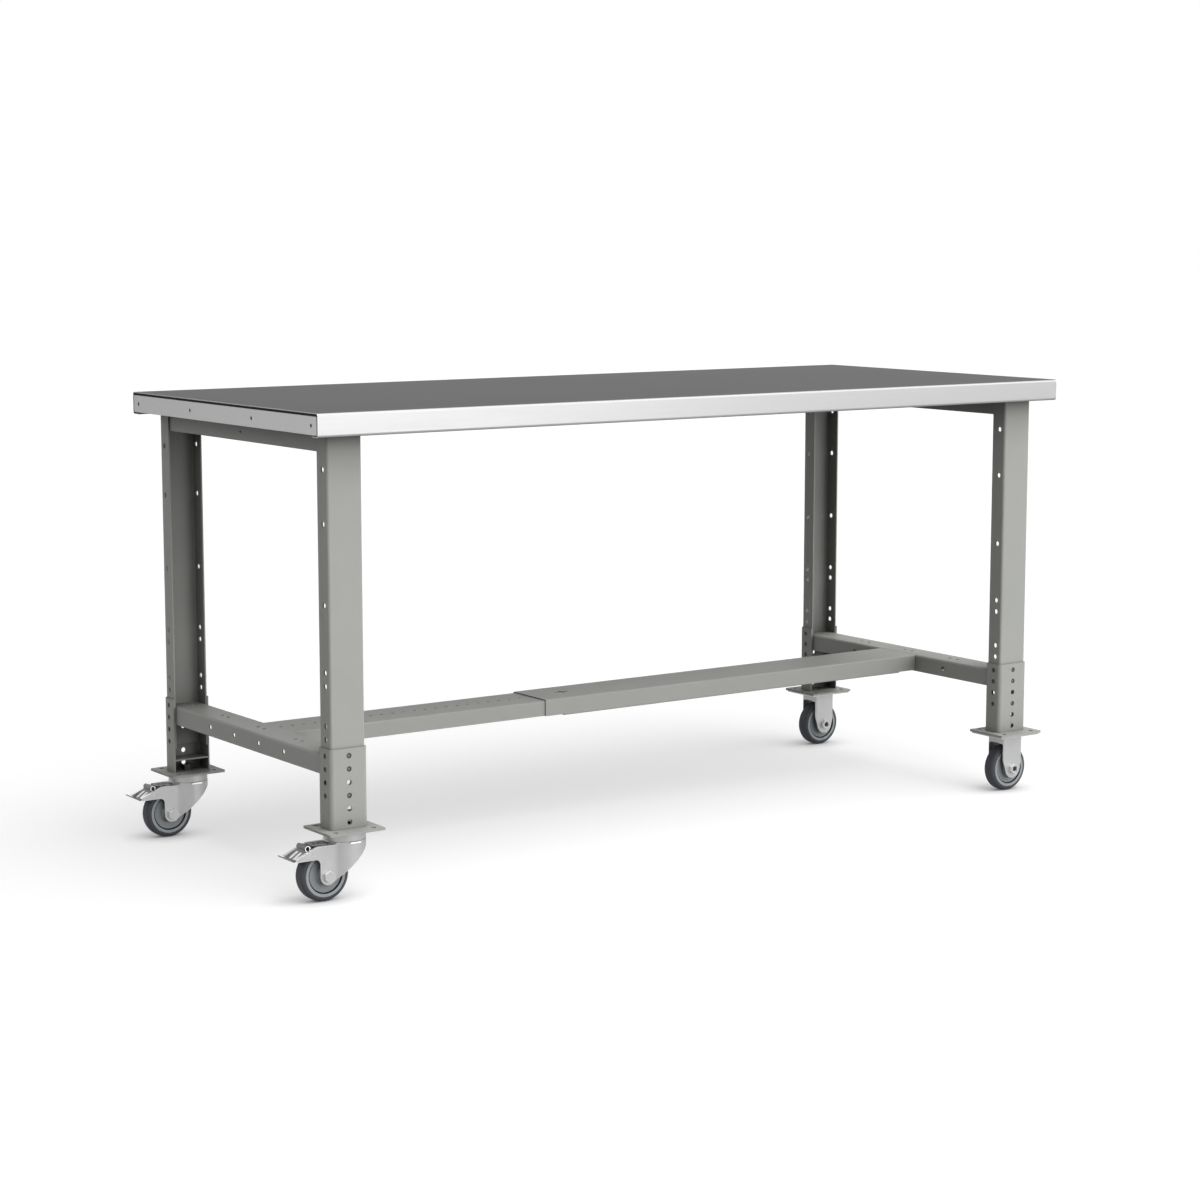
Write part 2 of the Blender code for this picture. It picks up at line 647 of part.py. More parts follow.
def brake_pedal():
    """Bent lever about its pin at the origin: knee, slotted tread and turned-up tip, between two cheeks."""
    marks = [
        (PEDAL_BACK_REACH, PEDAL_BACK_RISE),
        (PEDAL_KNEE_REACH, PEDAL_KNEE_RISE),
        (PEDAL_TOP_REACH, PEDAL_TOP_RISE),
        (PEDAL_FOOT_REACH, PEDAL_FOOT_RISE),
        (PEDAL_REACH, PEDAL_TIP_RISE),
    ]
    path = [(PIN_REACH - reach, rise - PIN_RISE) for reach, rise in marks]
    half = FORK_INNER - LIP_WIDTH - PEDAL_SIDE_GAP
    made = prism(sheet_outline(path, PEDAL_SHEET, PEDAL_BEND), "Y", -half, half)
    back, knee, top, foot, tip = (Vector((x, 0, z)) for x, z in path)
    inset = PEDAL_SHEET / 2
    cheek = arc((0, 0), PEDAL_HUB, -150, 30, 2 * BEND_STEPS)
    cheek += [(p.x, p.z - inset) for p in (back, knee)]
    cheek += [(p.x + inset, p.z - inset) for p in (top, foot)]
    for low in (-half, half - PEDAL_SHEET):
        join(made, prism(cheek, "Y", low, low + PEDAL_SHEET))
    slope = (foot - top).normalized()
    across = slope.cross(Vector((0, 1, 0)))
    middle = (top + foot) / 2
    for y in row(TREAD_SLOTS, TREAD_SLOT_PITCH):
        slot = block(
            (-TREAD_SLOT_LENGTH / 2, -TREAD_SLOT_WIDTH / 2, -CUT_MARGIN / 4),
            (TREAD_SLOT_LENGTH / 2, TREAD_SLOT_WIDTH / 2, CUT_MARGIN / 4),
        )
        turn = Matrix((slope, (0, 1, 0), across)).transposed().to_4x4()
        slot.data.transform(Matrix.Translation(middle + Vector((0, y, 0))) @ turn)
        cut(made, slot)
    return drill(made, 2 * (PIN_RADIUS + SEAT), "Y", [(0, 0, 0)], 2 * half + CUT_MARGIN)


def brake_pin():
    half = FORK_WIDTH / 2
    return about_y(turned_rod(PIN_RADIUS, -half, half, HOLE_SIDES))


def brake_leaf():
    """Spring leaf on the bridge behind the pedal, which locks the head when the pedal is down."""
    low = LEG_TOP + SEAT
    tail = -PEDAL_BACK_REACH + LEAF_TAIL_GAP
    head = -HEAD_RADIUS - LEAF_HEAD_GAP
    half, r = LEAF_WIDTH / 2, LEAF_CORNER
    outline = rounded([(tail, -half, r), (head, -half, r), (head, half, r), (tail, half, r)])
    made = prism(outline, "Z", low, low + LEAF_SHEET)
    third = (tail - head) / 3
    return drill(made, LEAF_BORE, "Z", [(head + i * third, 0, low) for i in (1, 2)], CUT_MARGIN)


def rigid_plate():
    high = PLATE_BOTTOM - SEAT
    length, width = PLATE_LENGTH - 2 * RIGID_PLATE_INSET, PLATE_WIDTH - 2 * RIGID_PLATE_INSET
    return drilled_plate(length, width, high - RIGID_PLATE_SHEET, high)


def rigid_fork():
    """Pressed fork: a box-like crown with short end walls and two legs that taper to round lobes."""
    top = PLATE_BOTTOM - 2 * SEAT - RIGID_PLATE_SHEET
    under = top - FORK_SHEET
    x, y, r = RIGID_LENGTH / 2, FORK_WIDTH / 2, RIGID_CORNER
    made = prism(rounded([(-x, -y, r), (x, -y, r), (x, y, r), (-x, y, r)]), "Z", 0, top)
    shoulder = (x, AXLE_Z + RIGID_TAPER_RISE)
    end = tangent_angle((0, AXLE_Z), RIGID_LOBE, shoulder, -1)
    lobe = arc((0, AXLE_Z), RIGID_LOBE, end, -180 - end, 3 * BEND_STEPS)
    margin = CUT_MARGIN
    side = [(x + margin, top + margin), (x + margin, shoulder[1]), shoulder] + lobe
    side += [(-x, shoulder[1]), (-x - margin, shoulder[1]), (-x - margin, top + margin)]
    combine(made, prism(side, "Y", -y - margin, y + margin), "INTERSECT")
    i, j, s = x - FORK_SHEET, FORK_INNER, RIGID_CORNER - FORK_SHEET
    hollow = prism(rounded([(-i, -j, s), (i, -j, s), (i, j, s), (-i, j, s)]), "Z", -margin, under)
    spring = top - RIGID_END_WALL - RIGID_ARCH
    radius = (FORK_INNER**2 + RIGID_ARCH**2) / 2 / RIGID_ARCH
    spread = math.degrees(math.asin(FORK_INNER / radius))
    arch = arc((0, spring + RIGID_ARCH - radius), radius, 90 - spread, 90 + spread, 2 * BEND_STEPS)
    doorway = prism(arch + [(-j, -margin), (j, -margin)], "X", -x - margin, x + margin)
    cut(made, hollow, doorway)
    return drill(made, 2 * (AXLE_RADIUS + SEAT), "Y", [(0, 0, AXLE_Z)], FORK_WIDTH + margin, SHAFT_SIDES)


def empty(name, parent, place):
    made = bpy.data.objects.new(name, None)
    made.empty_display_size = WHEEL_RADIUS
    made.location = place
    made.parent = parent
    bpy.context.scene.collection.objects.link(made)
    return made


def finish(made, paint):
    made.data.materials.clear()
    made.data.materials.append(paint)
    made.data.shade_smooth()
    made.data.set_sharp_from_angle(angle=math.radians(SHARP_ANGLE))


def put(pattern, name, parent, place=(0, 0, 0), turn=0):
    """Copy of a finished piece that shares its mesh."""
    made = bpy.data.objects.new(name, pattern.data)
    made.location = place
    made.rotation_euler.z = turn
    made.parent = parent
    bpy.context.scene.collection.objects.link(made)
    return made


def paints():
    return {
        "stainless": material("stainless", (0.42, 0.42, 0.42), 0.35, 1.0),
        "board": material("core_board", (0.030, 0.026, 0.022), 0.85, 0.0),
        "enamel": material("grey_enamel", (0.41, 0.42, 0.39), 0.5, 0.0),
        "zinc": material("zinc_plate", (0.62, 0.62, 0.62), 0.38, 1.0),
        "tread": material("dark_tread", (0.045, 0.047, 0.052), 0.7, 0.0),
        "core": material("grey_core", (0.22, 0.24, 0.25), 0.5, 0.0),
    }


def patterns(finishes):
    """Each different piece once, by its function's name."""
    wanted = {
        "stainless": (top_skin, end_cap),
        "board": (top_core,),
        "enamel": (
            upright, upper_rail, lower_rail, stringer_outer, stringer_inner,
            foot_sleeve, foot_gusset, base_plate,
        ),
        "zinc": (
            race_cap, kingpin, swivel_fork, axle, axle_sleeve,
            brake_pedal, brake_pin, brake_leaf, rigid_plate, rigid_fork,
        ),
        "tread": (tyre,),
        "core": (wheel_core,),
    }
    made = {}
    for paint, builders in wanted.items():
        for build in builders:
            made[build.__name__] = build()
            finish(made[build.__name__], finishes[paint])
    return made


def add_wheel(shapes, where, carrier, trail, turn):
    hub = empty("wheel_" + where, carrier, (trail, 0, AXLE_Z))
    put(shapes["tyre"], "tyre_" + where, hub)
    put(shapes["wheel_core"], "wheel_core_" + where, hub)
    put(shapes["axle"], "axle_" + where, carrier, (trail, 0, AXLE_Z), turn)
    put(shapes["axle_sleeve"], "axle_sleeve_" + where, carrier, (trail, 0, AXLE_Z))


def add_swivel_caster(shapes, where, foot):
    for name in ("race_cap", "kingpin"):
        put(shapes[name], f"{name}_{where}", foot)
    swivel = empty("swivel_" + where, foot, (0, 0, 0))
    for name in ("swivel_fork", "brake_leaf"):
        put(shapes[name], f"{name}_{where}", swivel)
    pin = (-PIN_REACH, 0, AXLE_Z + PIN_RISE)
    put(shapes["brake_pin"], "brake_pin_" + where, swivel, pin)
    brake = empty("brake_" + where, swivel, pin)
    put(shapes["brake_pedal"], "brake_pedal_" + where, brake)
    add_wheel(shapes, where, swivel, -TRAIL, 0)


def add_rigid_caster(shapes, where, foot):
    for name in ("rigid_plate", "rigid_fork"):
        put(shapes[name], f"{name}_{where}", foot)
    add_wheel(shapes, where, foot, 0, math.pi)


def add_leg(shapes, bench, side, end):
    """Upright, foot and caster at one corner. Rear legs are turned half round, so their webs face back."""
    where = f"{end}_{side}"
    turn = math.pi if end == "rear" else 0
    place = (SIDES[side] * FOOT_X, ENDS[end] * FOOT_Y, 0)
    put(shapes["upright"], "upright_" + where, bench, place, turn)
    foot = empty("foot_" + where, bench, place)
    for name in ("foot_sleeve", "foot_gusset", "base_plate"):
        put(shapes[name], f"{name}_{where}", foot, turn=turn)
    if side == "left":
        add_swivel_caster(shapes, where, foot)
    else:
        add_rigid_caster(shapes, where, foot)


def add_frame(shapes, bench):
    for name in ("top_skin", "top_core", "stringer_inner", "stringer_outer"):
        put(shapes[name], name, bench)
    for side, sign in SIDES.items():
        turn = math.pi if sign > 0 else 0
        put(shapes["end_cap"], "end_cap_" + side, bench, (sign * TOP_LENGTH / 2, 0, 0), turn)
        for name in ("upper_rail", "lower_rail"):
            put(shapes[name], f"{name}_{side}", bench, (sign * FOOT_X, 0, 0))


def main():
    for leftover in list(bpy.data.objects):
        bpy.data.objects.remove(leftover)
    shapes = patterns(paints())
    bench = empty("bench", None, (BENCH_X, 0, 0))
    add_frame(shapes, bench)
    for side in SIDES:
        for end in ENDS:
            add_leg(shapes, bench, side, end)
    for pattern in shapes.values():
        bpy.data.objects.remove(pattern)
    print(f"bench {TOP_LENGTH:.3f} x {TOP_DEPTH:.3f} x {BENCH_HEIGHT:.4f} m")


main()
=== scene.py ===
# %% [markdown]
# # A mobile steel workbench
# A stainless sheet is wrapped over a board, four punched legs carry it, and every leg stands on a caster.
# The frame holds the solids at their real size and place. This lesson dresses them: it bends, drills, turns
# and presses each visible piece again with a fine surface, and gives every piece the finish of its real
# material.

# %% Load the frame
import json
import math

import bmesh
import bpy
from mathutils import Matrix, Vector


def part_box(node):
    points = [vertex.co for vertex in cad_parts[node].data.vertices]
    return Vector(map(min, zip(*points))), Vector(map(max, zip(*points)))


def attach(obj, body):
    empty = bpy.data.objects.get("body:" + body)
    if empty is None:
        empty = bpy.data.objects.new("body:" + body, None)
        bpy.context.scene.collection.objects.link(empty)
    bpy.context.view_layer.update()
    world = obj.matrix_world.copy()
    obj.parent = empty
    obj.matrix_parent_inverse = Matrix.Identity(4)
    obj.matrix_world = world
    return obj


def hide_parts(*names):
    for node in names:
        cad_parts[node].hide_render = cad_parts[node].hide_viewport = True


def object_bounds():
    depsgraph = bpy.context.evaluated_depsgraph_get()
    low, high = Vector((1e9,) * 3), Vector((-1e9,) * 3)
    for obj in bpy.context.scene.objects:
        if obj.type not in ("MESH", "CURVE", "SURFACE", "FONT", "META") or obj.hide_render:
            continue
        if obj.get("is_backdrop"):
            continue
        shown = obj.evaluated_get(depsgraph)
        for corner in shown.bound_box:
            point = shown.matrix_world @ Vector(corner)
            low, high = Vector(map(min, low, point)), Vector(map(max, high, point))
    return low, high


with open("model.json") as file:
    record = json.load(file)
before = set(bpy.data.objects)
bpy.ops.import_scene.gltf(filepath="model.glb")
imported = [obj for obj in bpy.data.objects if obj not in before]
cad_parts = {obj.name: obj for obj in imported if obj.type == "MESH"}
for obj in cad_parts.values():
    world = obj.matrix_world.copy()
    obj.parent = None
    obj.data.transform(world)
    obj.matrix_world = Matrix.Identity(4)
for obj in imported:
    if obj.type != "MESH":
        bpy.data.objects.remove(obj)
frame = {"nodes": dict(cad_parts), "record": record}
cad_low, cad_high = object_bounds()
BODY_OF = {node: body for body, nodes in frame["record"]["behaviour"]["bodies"].items() for node in nodes}
CORNERS = ("front_left", "rear_left", "front_right", "rear_right")
LEFT, RIGHT = CORNERS[:2], CORNERS[2:]

# %% [markdown]
# ## The camera
# The bench is seen from its front left corner, a little above the worktop. A long lens keeps the uprights
# parallel. The camera could be aimed at the middle of the bench, but then its frame would shift with every
# change of size, so it has a place, a heading and a dip of its own.

# %% Place the camera
CAMERA_PLACE = (-3.2262, -4.5978, 1.2457)
CAMERA_HEADING = -35.03
CAMERA_DIP = 8.0
SENSOR_MM = 36.0
FRAME_PIXELS = 1200
FOCAL_PIXELS = 2684.2

bpy.ops.object.camera_add(location=CAMERA_PLACE)
camera = bpy.context.object
camera.rotation_euler = (math.radians(90 - CAMERA_DIP), 0, math.radians(CAMERA_HEADING))
camera.data.sensor_width = SENSOR_MM
camera.data.lens = SENSOR_MM * FOCAL_PIXELS / FRAME_PIXELS
bpy.context.scene.camera = camera
bpy.context.scene.view_settings.view_transform = "Standard"
print(f"lens {camera.data.lens:.1f} mm")

# %% [markdown]
# ## Helpers for the hand tools
# Every operator acts on what is selected, so the helpers below always select one object, enter edit mode
# and pick faces or edges by where they lie. This keeps each piece a short list of the steps that a person
# would do.

# %% Selecting and editing
AXES = {"X": Vector((1, 0, 0)), "Y": Vector((0, 1, 0)), "Z": Vector((0, 0, 1))}
SAME_WAY = 0.999


def only(made):
    """Selects one object and makes it the active one."""
    bpy.ops.object.select_all(action="DESELECT")
    made.select_set(True)
    bpy.context.view_layer.objects.active = made


def edit(made):
    """Selects one object and enters edit mode."""
    only(made)
    bpy.ops.object.mode_set(mode="EDIT")


def leave():
    """Goes back to object mode."""
    bpy.ops.object.mode_set(mode="OBJECT")


def pick(made, kind, wanted):
    """In edit mode, selects the vertices, edges or faces that the test wants."""
    bpy.ops.mesh.select_mode(type=kind)
    bpy.ops.mesh.select_all(action="DESELECT")
    shape = bmesh.from_edit_mesh(made.data)
    shape.normal_update()
    for item in {"VERT": shape.verts, "EDGE": shape.edges, "FACE": shape.faces}[kind]:
        if wanted(item):
            item.select_set(True)
    shape.select_flush_mode()
    bmesh.update_edit_mesh(made.data)


def along(edge, axis):
    """True if the edge runs along the axis."""
    way = edge.verts[1].co - edge.verts[0].co
    return abs(way.normalized().dot(AXES[axis])) > SAME_WAY


def middle(edge):
    return (edge.verts[0].co + edge.verts[1].co) / 2


def round_edges(made, wanted, width, steps, clamp=False):
    """Bevels the edges that the test wants."""
    edit(made)
    pick(made, "EDGE", wanted)
    bpy.ops.mesh.bevel(offset=width, segments=steps, affect="EDGES", clamp_overlap=clamp)
    leave()


print("selecting and editing along", list(AXES))

# %% Blocks, rods and holes
TURN_TO = {"X": (0, math.pi / 2, 0), "Y": (math.pi / 2, 0, 0), "Z": (0, 0, 0)}
ROD_SIDES = 32
HOLE_SIDES = 28


def apply(made, kind, **settings):
    """Adds a modifier, sets it and applies it."""
    only(made)
    step = made.modifiers.new(kind.lower(), kind)
    for key, value in settings.items():
        setattr(step, key, value)
    bpy.ops.object.modifier_apply(modifier=step.name)


def combine(made, other, operation):
    """Boolean with another object, which is used up."""
    apply(made, "BOOLEAN", object=other, operation=operation, solver="EXACT")
    bpy.data.objects.remove(other)


def block(name, low, high):
    """A cube, sized and placed by two opposite corners."""
    low, high = Vector(low), Vector(high)
    bpy.ops.object.select_all(action="DESELECT")
    bpy.ops.mesh.primitive_cube_add(size=1, location=(low + high) / 2)
    made = bpy.context.object
    made.name = name
    made.scale = high - low
    bpy.ops.object.transform_apply(location=True, rotation=True, scale=True)
    return made


def round_block(name, low, high, corner, steps):
    """A block whose upright edges are round."""
    made = block(name, low, high)
    round_edges(made, lambda e: along(e, "Z"), corner, steps)
    return made


def rod(name, radius, axis, place, length, sides=ROD_SIDES):
    """Round bar along an axis, about its middle."""
    bpy.ops.object.select_all(action="DESELECT")
    bpy.ops.mesh.primitive_cylinder_add(
        vertices=sides, radius=radius, depth=length, location=place, rotation=TURN_TO[axis]
    )
    made = bpy.context.object
    made.name = name
    bpy.ops.object.transform_apply(location=True, rotation=True, scale=True)
    return made


def joined(pieces):
    """Makes one object of several."""
    only(pieces[0])
    for other in pieces:
        other.select_set(True)
    if len(pieces) > 1:
        bpy.ops.object.join()
    return bpy.context.object


def drill(made, bore, axis, places, length, sides=HOLE_SIDES):
    """Round holes through a piece: the drills are joined, then taken away in one step."""
    drills = [rod("drill", bore / 2, axis, place, length, sides) for place in places]
    combine(made, joined(drills), "DIFFERENCE")


print("rods with", ROD_SIDES, "sides, holes with", HOLE_SIDES)

# %% Softening, copying and dressing
EDGE = 0.0004
SOFTEN_ANGLE = math.radians(45)
SMOOTH_ANGLE = math.radians(36)


def soften(made, width=EDGE, segments=2):
    """Breaks the sharp edges, then shades round stretches smooth and flats flat."""
    apply(
        made, "BEVEL", width=width, segments=segments, limit_method="ANGLE", angle_limit=SOFTEN_ANGLE,
        miter_outer="MITER_ARC",
    )
    shade(made)


def shade(made):
    """Smooth over round stretches, flat over flats, with large faces leading the normals."""
    only(made)
    bpy.ops.object.shade_smooth_by_angle(angle=SMOOTH_ANGLE)
    apply(made, "WEIGHTED_NORMAL", keep_sharp=True)


def copied(made, shift=(0, 0, 0), turn=0.0, pivot=(0, 0, 0)):
    """A copy with its own mesh, turned about an upright line through the pivot and then moved."""
    only(made)
    bpy.ops.object.duplicate()
    twin = bpy.context.object
    pivot = Vector(pivot)
    place = Matrix.Translation(pivot + Vector(shift)) @ Matrix.Rotation(turn, 4, "Z")
    twin.matrix_world = place @ Matrix.Translation(-pivot)
    bpy.ops.object.transform_apply(location=True, rotation=True, scale=True)
    return twin


def dress(made, node, finish):
    """The new piece takes its solid's place, moves with the same body and has its finish."""
    made.name = node + "_finished"
    if finish:
        made.data.materials.clear()
        made.data.materials.append(finish)
    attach(made, BODY_OF[node])
    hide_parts(node)


def add_on(made, name, body):
    """A small piece that no solid stands for."""
    made.name = name
    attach(made, body)


def middle_of(node):
    """Middle of a node's box."""
    low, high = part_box(node)
    return (low + high) / 2


print(f"edges softened by {EDGE * 1000} mm")

# %% [markdown]
# ## The studio
# The bench stands on a pale floor in front of white. A very soft key lamp from the front right makes the
# fronts light and lets the shadow fall to the left. A weaker lamp from the left opens the dark sides, one
# from high up lights the plates, and a small panel at the front puts the bright streak on the worktop's
# edge. The white behind comes from the world and the floor themselves, for the camera and for reflections,
# so that no extra light is needed on the object. The floor still darkens where the bench shades it, and
# close to the wheels its glow fades as a painted shadow.

# %% Nodes and their links
def add(tree, kind, values=None, **settings):
    """A node with its settings, and with plain values on its own sockets."""
    made = tree.nodes.new(kind)
    for key, value in settings.items():
        setattr(made, key, value)
    for key, value in (values or {}).items():
        made.inputs[key].default_value = value
    return made


def grey(shade):
    return (shade, shade, shade, 1)


def wire(tree, *pairs):
    """Joins nodes: each pair is a node with its output and a node with its input."""
    for (source, output), (target, name) in pairs:
        tree.links.new(source.outputs[output], target.inputs[name])


print("node helpers ready")

# %% World and floor
FILL = 0.05
FLOOR_SIZE = 90.0
FLOOR_BOUNCE = 0.17  # grey that throws light back at the bench
FLOOR_GLOW = 0.6  # white of its own, where it is seen directly
FLOOR_SHADE = 0.475  # grey that the lamps light and the bench shades
# The glow fades near a wheel as a painted contact shadow.
FLOOR_CONTACT = 0.06  # metres over which the glow fades towards a wheel
FLOOR_SAMPLES = 2


def seen_directly(tree):
    """1 for rays from the camera, a mirror or glass, and 0 for light that scatters."""
    path = add(tree, "ShaderNodeLightPath")
    first = add(tree, "ShaderNodeMath", operation="MAXIMUM")
    second = add(tree, "ShaderNodeMath", operation="MAXIMUM")
    wire(
        tree, ((path, "Is Camera Ray"), (first, 0)), ((path, "Is Glossy Ray"), (first, 1)),
        ((first, 0), (second, 0)), ((path, "Is Transmission Ray"), (second, 1)),
    )
    return second


def studio_world():
    """White where it is seen directly, and a weak fill for light that scatters."""
    world = bpy.data.worlds.new("studio")
    world.use_nodes = True
    tree = world.node_tree
    fill = tree.nodes["Background"]
    fill.inputs["Color"].default_value = grey(1)
    fill.inputs["Strength"].default_value = FILL
    white = add(tree, "ShaderNodeBackground", {"Color": grey(1), "Strength": 1})
    mix = add(tree, "ShaderNodeMixShader")
    wire(
        tree, ((seen_directly(tree), 0), (mix, "Fac")), ((fill, 0), (mix, 1)), ((white, 0), (mix, 2)),
        ((mix, 0), (tree.nodes["World Output"], "Surface")),
    )
    return world


def floor_finish():
    """Glows and takes shadows where it is seen directly, and throws little light back at the bench.
    Close to the wheels its glow fades as a painted shadow.
    """
    made = bpy.data.materials.new("pale_floor")
    made.use_nodes = True
    tree = made.node_tree
    tree.nodes.remove(tree.nodes["Principled BSDF"])
    bounce = add(tree, "ShaderNodeBsdfDiffuse", {"Color": grey(FLOOR_BOUNCE)})
    # Within the reach, the glow fades towards the wheels: a painted shadow.
    near = add(tree, "ShaderNodeAmbientOcclusion", {"Distance": FLOOR_CONTACT}, samples=FLOOR_SAMPLES)
    shaded = add(tree, "ShaderNodeBsdfDiffuse", {"Color": grey(FLOOR_SHADE)})
    glow = add(tree, "ShaderNodeEmission", {"Strength": FLOOR_GLOW})
    pale = add(tree, "ShaderNodeAddShader")
    mix = add(tree, "ShaderNodeMixShader")
    wire(
        tree, ((near, "Color"), (glow, "Color")), ((shaded, 0), (pale, 0)), ((glow, 0), (pale, 1)),
        ((seen_directly(tree), 0), (mix, "Fac")), ((bounce, 0), (mix, 1)), ((pale, 0), (mix, 2)),
        ((mix, 0), (tree.nodes["Material Output"], "Surface")),
    )
    return made


bpy.context.scene.world = studio_world()
bpy.ops.object.select_all(action="DESELECT")
bpy.ops.mesh.primitive_plane_add(size=FLOOR_SIZE, location=(0, 0, cad_low.z))
floor = bpy.context.object
floor.name = "floor"
floor.data.materials.append(floor_finish())
floor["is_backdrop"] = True
print("floor", FLOOR_SIZE, "m wide, at", round(cad_low.z, 4), "m")

# %% Lamps
LAMPS = {  # heading, height, strength and softness, with the angles in degrees
    "key_lamp": (32.0, 32.0, 3.1, 96.0),
    "side_lamp": (-80.0, 20.0, 0.6, 60.0),
    "head_lamp": (10.0, 73.0, 0.95, 34.0),
}
PANEL_PLACE = (1.3, -4.2, 0.65)
PANEL_WIDTH = 1.7
PANEL_HEIGHT = 0.6
PANEL_POWER = 16.0
LAMP_PLACE = (0, 0, 4)


def far_lamp(name, heading, height, strength, softness):
    """Lamp so far away that its light is parallel. Its heading counts from the front towards the right."""
    bpy.ops.object.light_add(type="SUN", location=LAMP_PLACE)
    lamp = bpy.context.object
    lamp.name = name
    lamp.rotation_euler = (math.radians(90 - height), 0, math.radians(heading))
    lamp.data.energy = strength
    lamp.data.angle = math.radians(softness)


for name, settings in LAMPS.items():
    far_lamp(name, *settings)
bpy.ops.object.light_add(type="AREA", location=PANEL_PLACE, rotation=(math.pi / 2, 0, 0))
panel = bpy.context.object
panel.name = "front_panel"
panel.data.shape = "RECTANGLE"
panel.data.size = PANEL_WIDTH
panel.data.size_y = PANEL_HEIGHT
panel.data.energy = PANEL_POWER
print("studio ready, with", len(bpy.data.lights), "lamps")

# %% [markdown]
# ## Effects that the finishes share
# Powder coat, zinc, brushed steel and rubber all need the same four things: a fine grain, a slow change of
# tone, edges that differ a little from the faces, and painted shade in the corners. Edges lighter than their
# faces are a painted highlight, and edges darker than them are painted shade. Each is one node group. The
# grain is noise in the object's own metres, so it has a real size, and drawing it out along one axis makes
# brush lines of it. Edges could be painted by hand, but a rounded normal finds them on every piece, and the
# share of open sky over a point finds the corners.

# %% Groups for grain and tint
GRAIN_DETAIL = 3
GRAIN_ROUGHNESS = 0.6
MIX_A, MIX_B, MIX_RESULT = 6, 7, 2  # the colour sockets of a Mix node


def group(name, inputs, outputs):
    """An empty group with named sockets, and its two end nodes."""
    tree = bpy.data.node_groups.new(name, "ShaderNodeTree")
    for title, kind, value in inputs:
        tree.interface.new_socket(title, in_out="INPUT", socket_type=kind).default_value = value
    for title, kind in outputs:
        tree.interface.new_socket(title, in_out="OUTPUT", socket_type=kind)
    return tree, tree.nodes.new("NodeGroupInput"), tree.nodes.new("NodeGroupOutput")


def grain_group():
    """Noise from 0 to 1 in the object's metres, with a count per metre for each axis."""
    tree, given, result = group(
        "grain", [("Per metre", "NodeSocketVector", (1, 1, 1))], [("Value", "NodeSocketFloat")]
    )
    place = add(tree, "ShaderNodeTexCoord")
    drawn = add(tree, "ShaderNodeVectorMath", operation="MULTIPLY")
    look = {"Scale": 1, "Detail": GRAIN_DETAIL, "Roughness": GRAIN_ROUGHNESS}
    noise = add(tree, "ShaderNodeTexNoise", look)
    wire(
        tree, ((place, "Object"), (drawn, 0)), ((given, "Per metre"), (drawn, 1)),
        ((drawn, 0), (noise, "Vector")), ((noise, "Fac"), (result, "Value")),
    )
    return tree


def tint_group(grain):
    """A colour that noise makes a little lighter and darker, by the spread."""
    tree, given, result = group(
        "tint",
        [
            ("Color", "NodeSocketColor", grey(1)),
            ("Spread", "NodeSocketFloat", 0.1),
            ("Per metre", "NodeSocketVector", (1, 1, 1)),
        ],
        [("Color", "NodeSocketColor")],
    )
    noise = add(tree, "ShaderNodeGroup", node_tree=grain)
    centred = add(tree, "ShaderNodeMath", {1: 0.5}, operation="SUBTRACT")
    factor = add(tree, "ShaderNodeMath", {2: 1.0}, operation="MULTIPLY_ADD")
    mix = add(tree, "ShaderNodeMix", {"Factor": 1.0}, data_type="RGBA", blend_type="MULTIPLY")
    wire(
        tree, ((given, "Per metre"), (noise, "Per metre")), ((noise, "Value"), (centred, 0)),
        ((centred, 0), (factor, 0)), ((given, "Spread"), (factor, 1)), ((given, "Color"), (mix, MIX_A)),
        ((factor, 0), (mix, MIX_B)), ((mix, MIX_RESULT), (result, "Color")),
    )
    return tree


GRAIN = grain_group()
TINT = tint_group(GRAIN)
print("groups", [GRAIN.name, TINT.name])

# %% Groups for edges and corners
EDGE_SAMPLES = 4
EDGE_NONE = 0.995
EDGE_FULL = 0.82
CORNER_SAMPLES = 6


def edge_group():
    """1 along edges, where a rounded normal leaves the flat one, and 0 on faces.
    It masks the painted highlight and painted shade on edges.
    """
    tree, given, result = group(
        "edge", [("Width", "NodeSocketFloat", 0.002)], [("Mask", "NodeSocketFloat")]
    )
    rounded = add(tree, "ShaderNodeBevel", samples=EDGE_SAMPLES)
    flat = add(tree, "ShaderNodeNewGeometry")
    turn = add(tree, "ShaderNodeVectorMath", operation="DOT_PRODUCT")
    mask = add(tree, "ShaderNodeMapRange", {"From Min": EDGE_NONE, "From Max": EDGE_FULL})
    wire(
        tree, ((given, "Width"), (rounded, "Radius")), ((rounded, "Normal"), (turn, 0)),
        ((flat, "Normal"), (turn, 1)), ((turn, "Value"), (mask, "Value")),
        ((mask, "Result"), (result, "Mask")),
    )
    return tree


def corner_group():
    """0 in the open and up to 1 in corners, by the share of sky that is hidden within the reach.
    It masks the painted shade in corners.
    """
    tree, given, result = group(
        "corner", [("Reach", "NodeSocketFloat", 0.05)], [("Mask", "NodeSocketFloat")]
    )
    open_share = add(tree, "ShaderNodeAmbientOcclusion", samples=CORNER_SAMPLES)
    mask = add(tree, "ShaderNodeMath", {0: 1.0}, operation="SUBTRACT")
    wire(
        tree, ((given, "Reach"), (open_share, "Distance")), ((open_share, "AO"), (mask, 1)),
        ((mask, 0), (result, "Mask")),
    )
    return tree


EDGES = edge_group()
NOOKS = corner_group()
print("groups", [EDGES.name, NOOKS.name])

# %% [markdown]
# ## The finishes
# One recipe takes the four effects and a set of values. Two tints change the base colour, one slowly over a
# hand's breadth and one in fine specks or lines. The edges fade to their own colour, a painted highlight
# where it is lighter and painted shade where it is darker, and the corners fade to near black as painted
# shade. The grain moves the roughness, and a finer grain lifts the surface by a fraction of a millimetre.
# Each finish could have a node tree of its own, but one recipe keeps them short and alike.

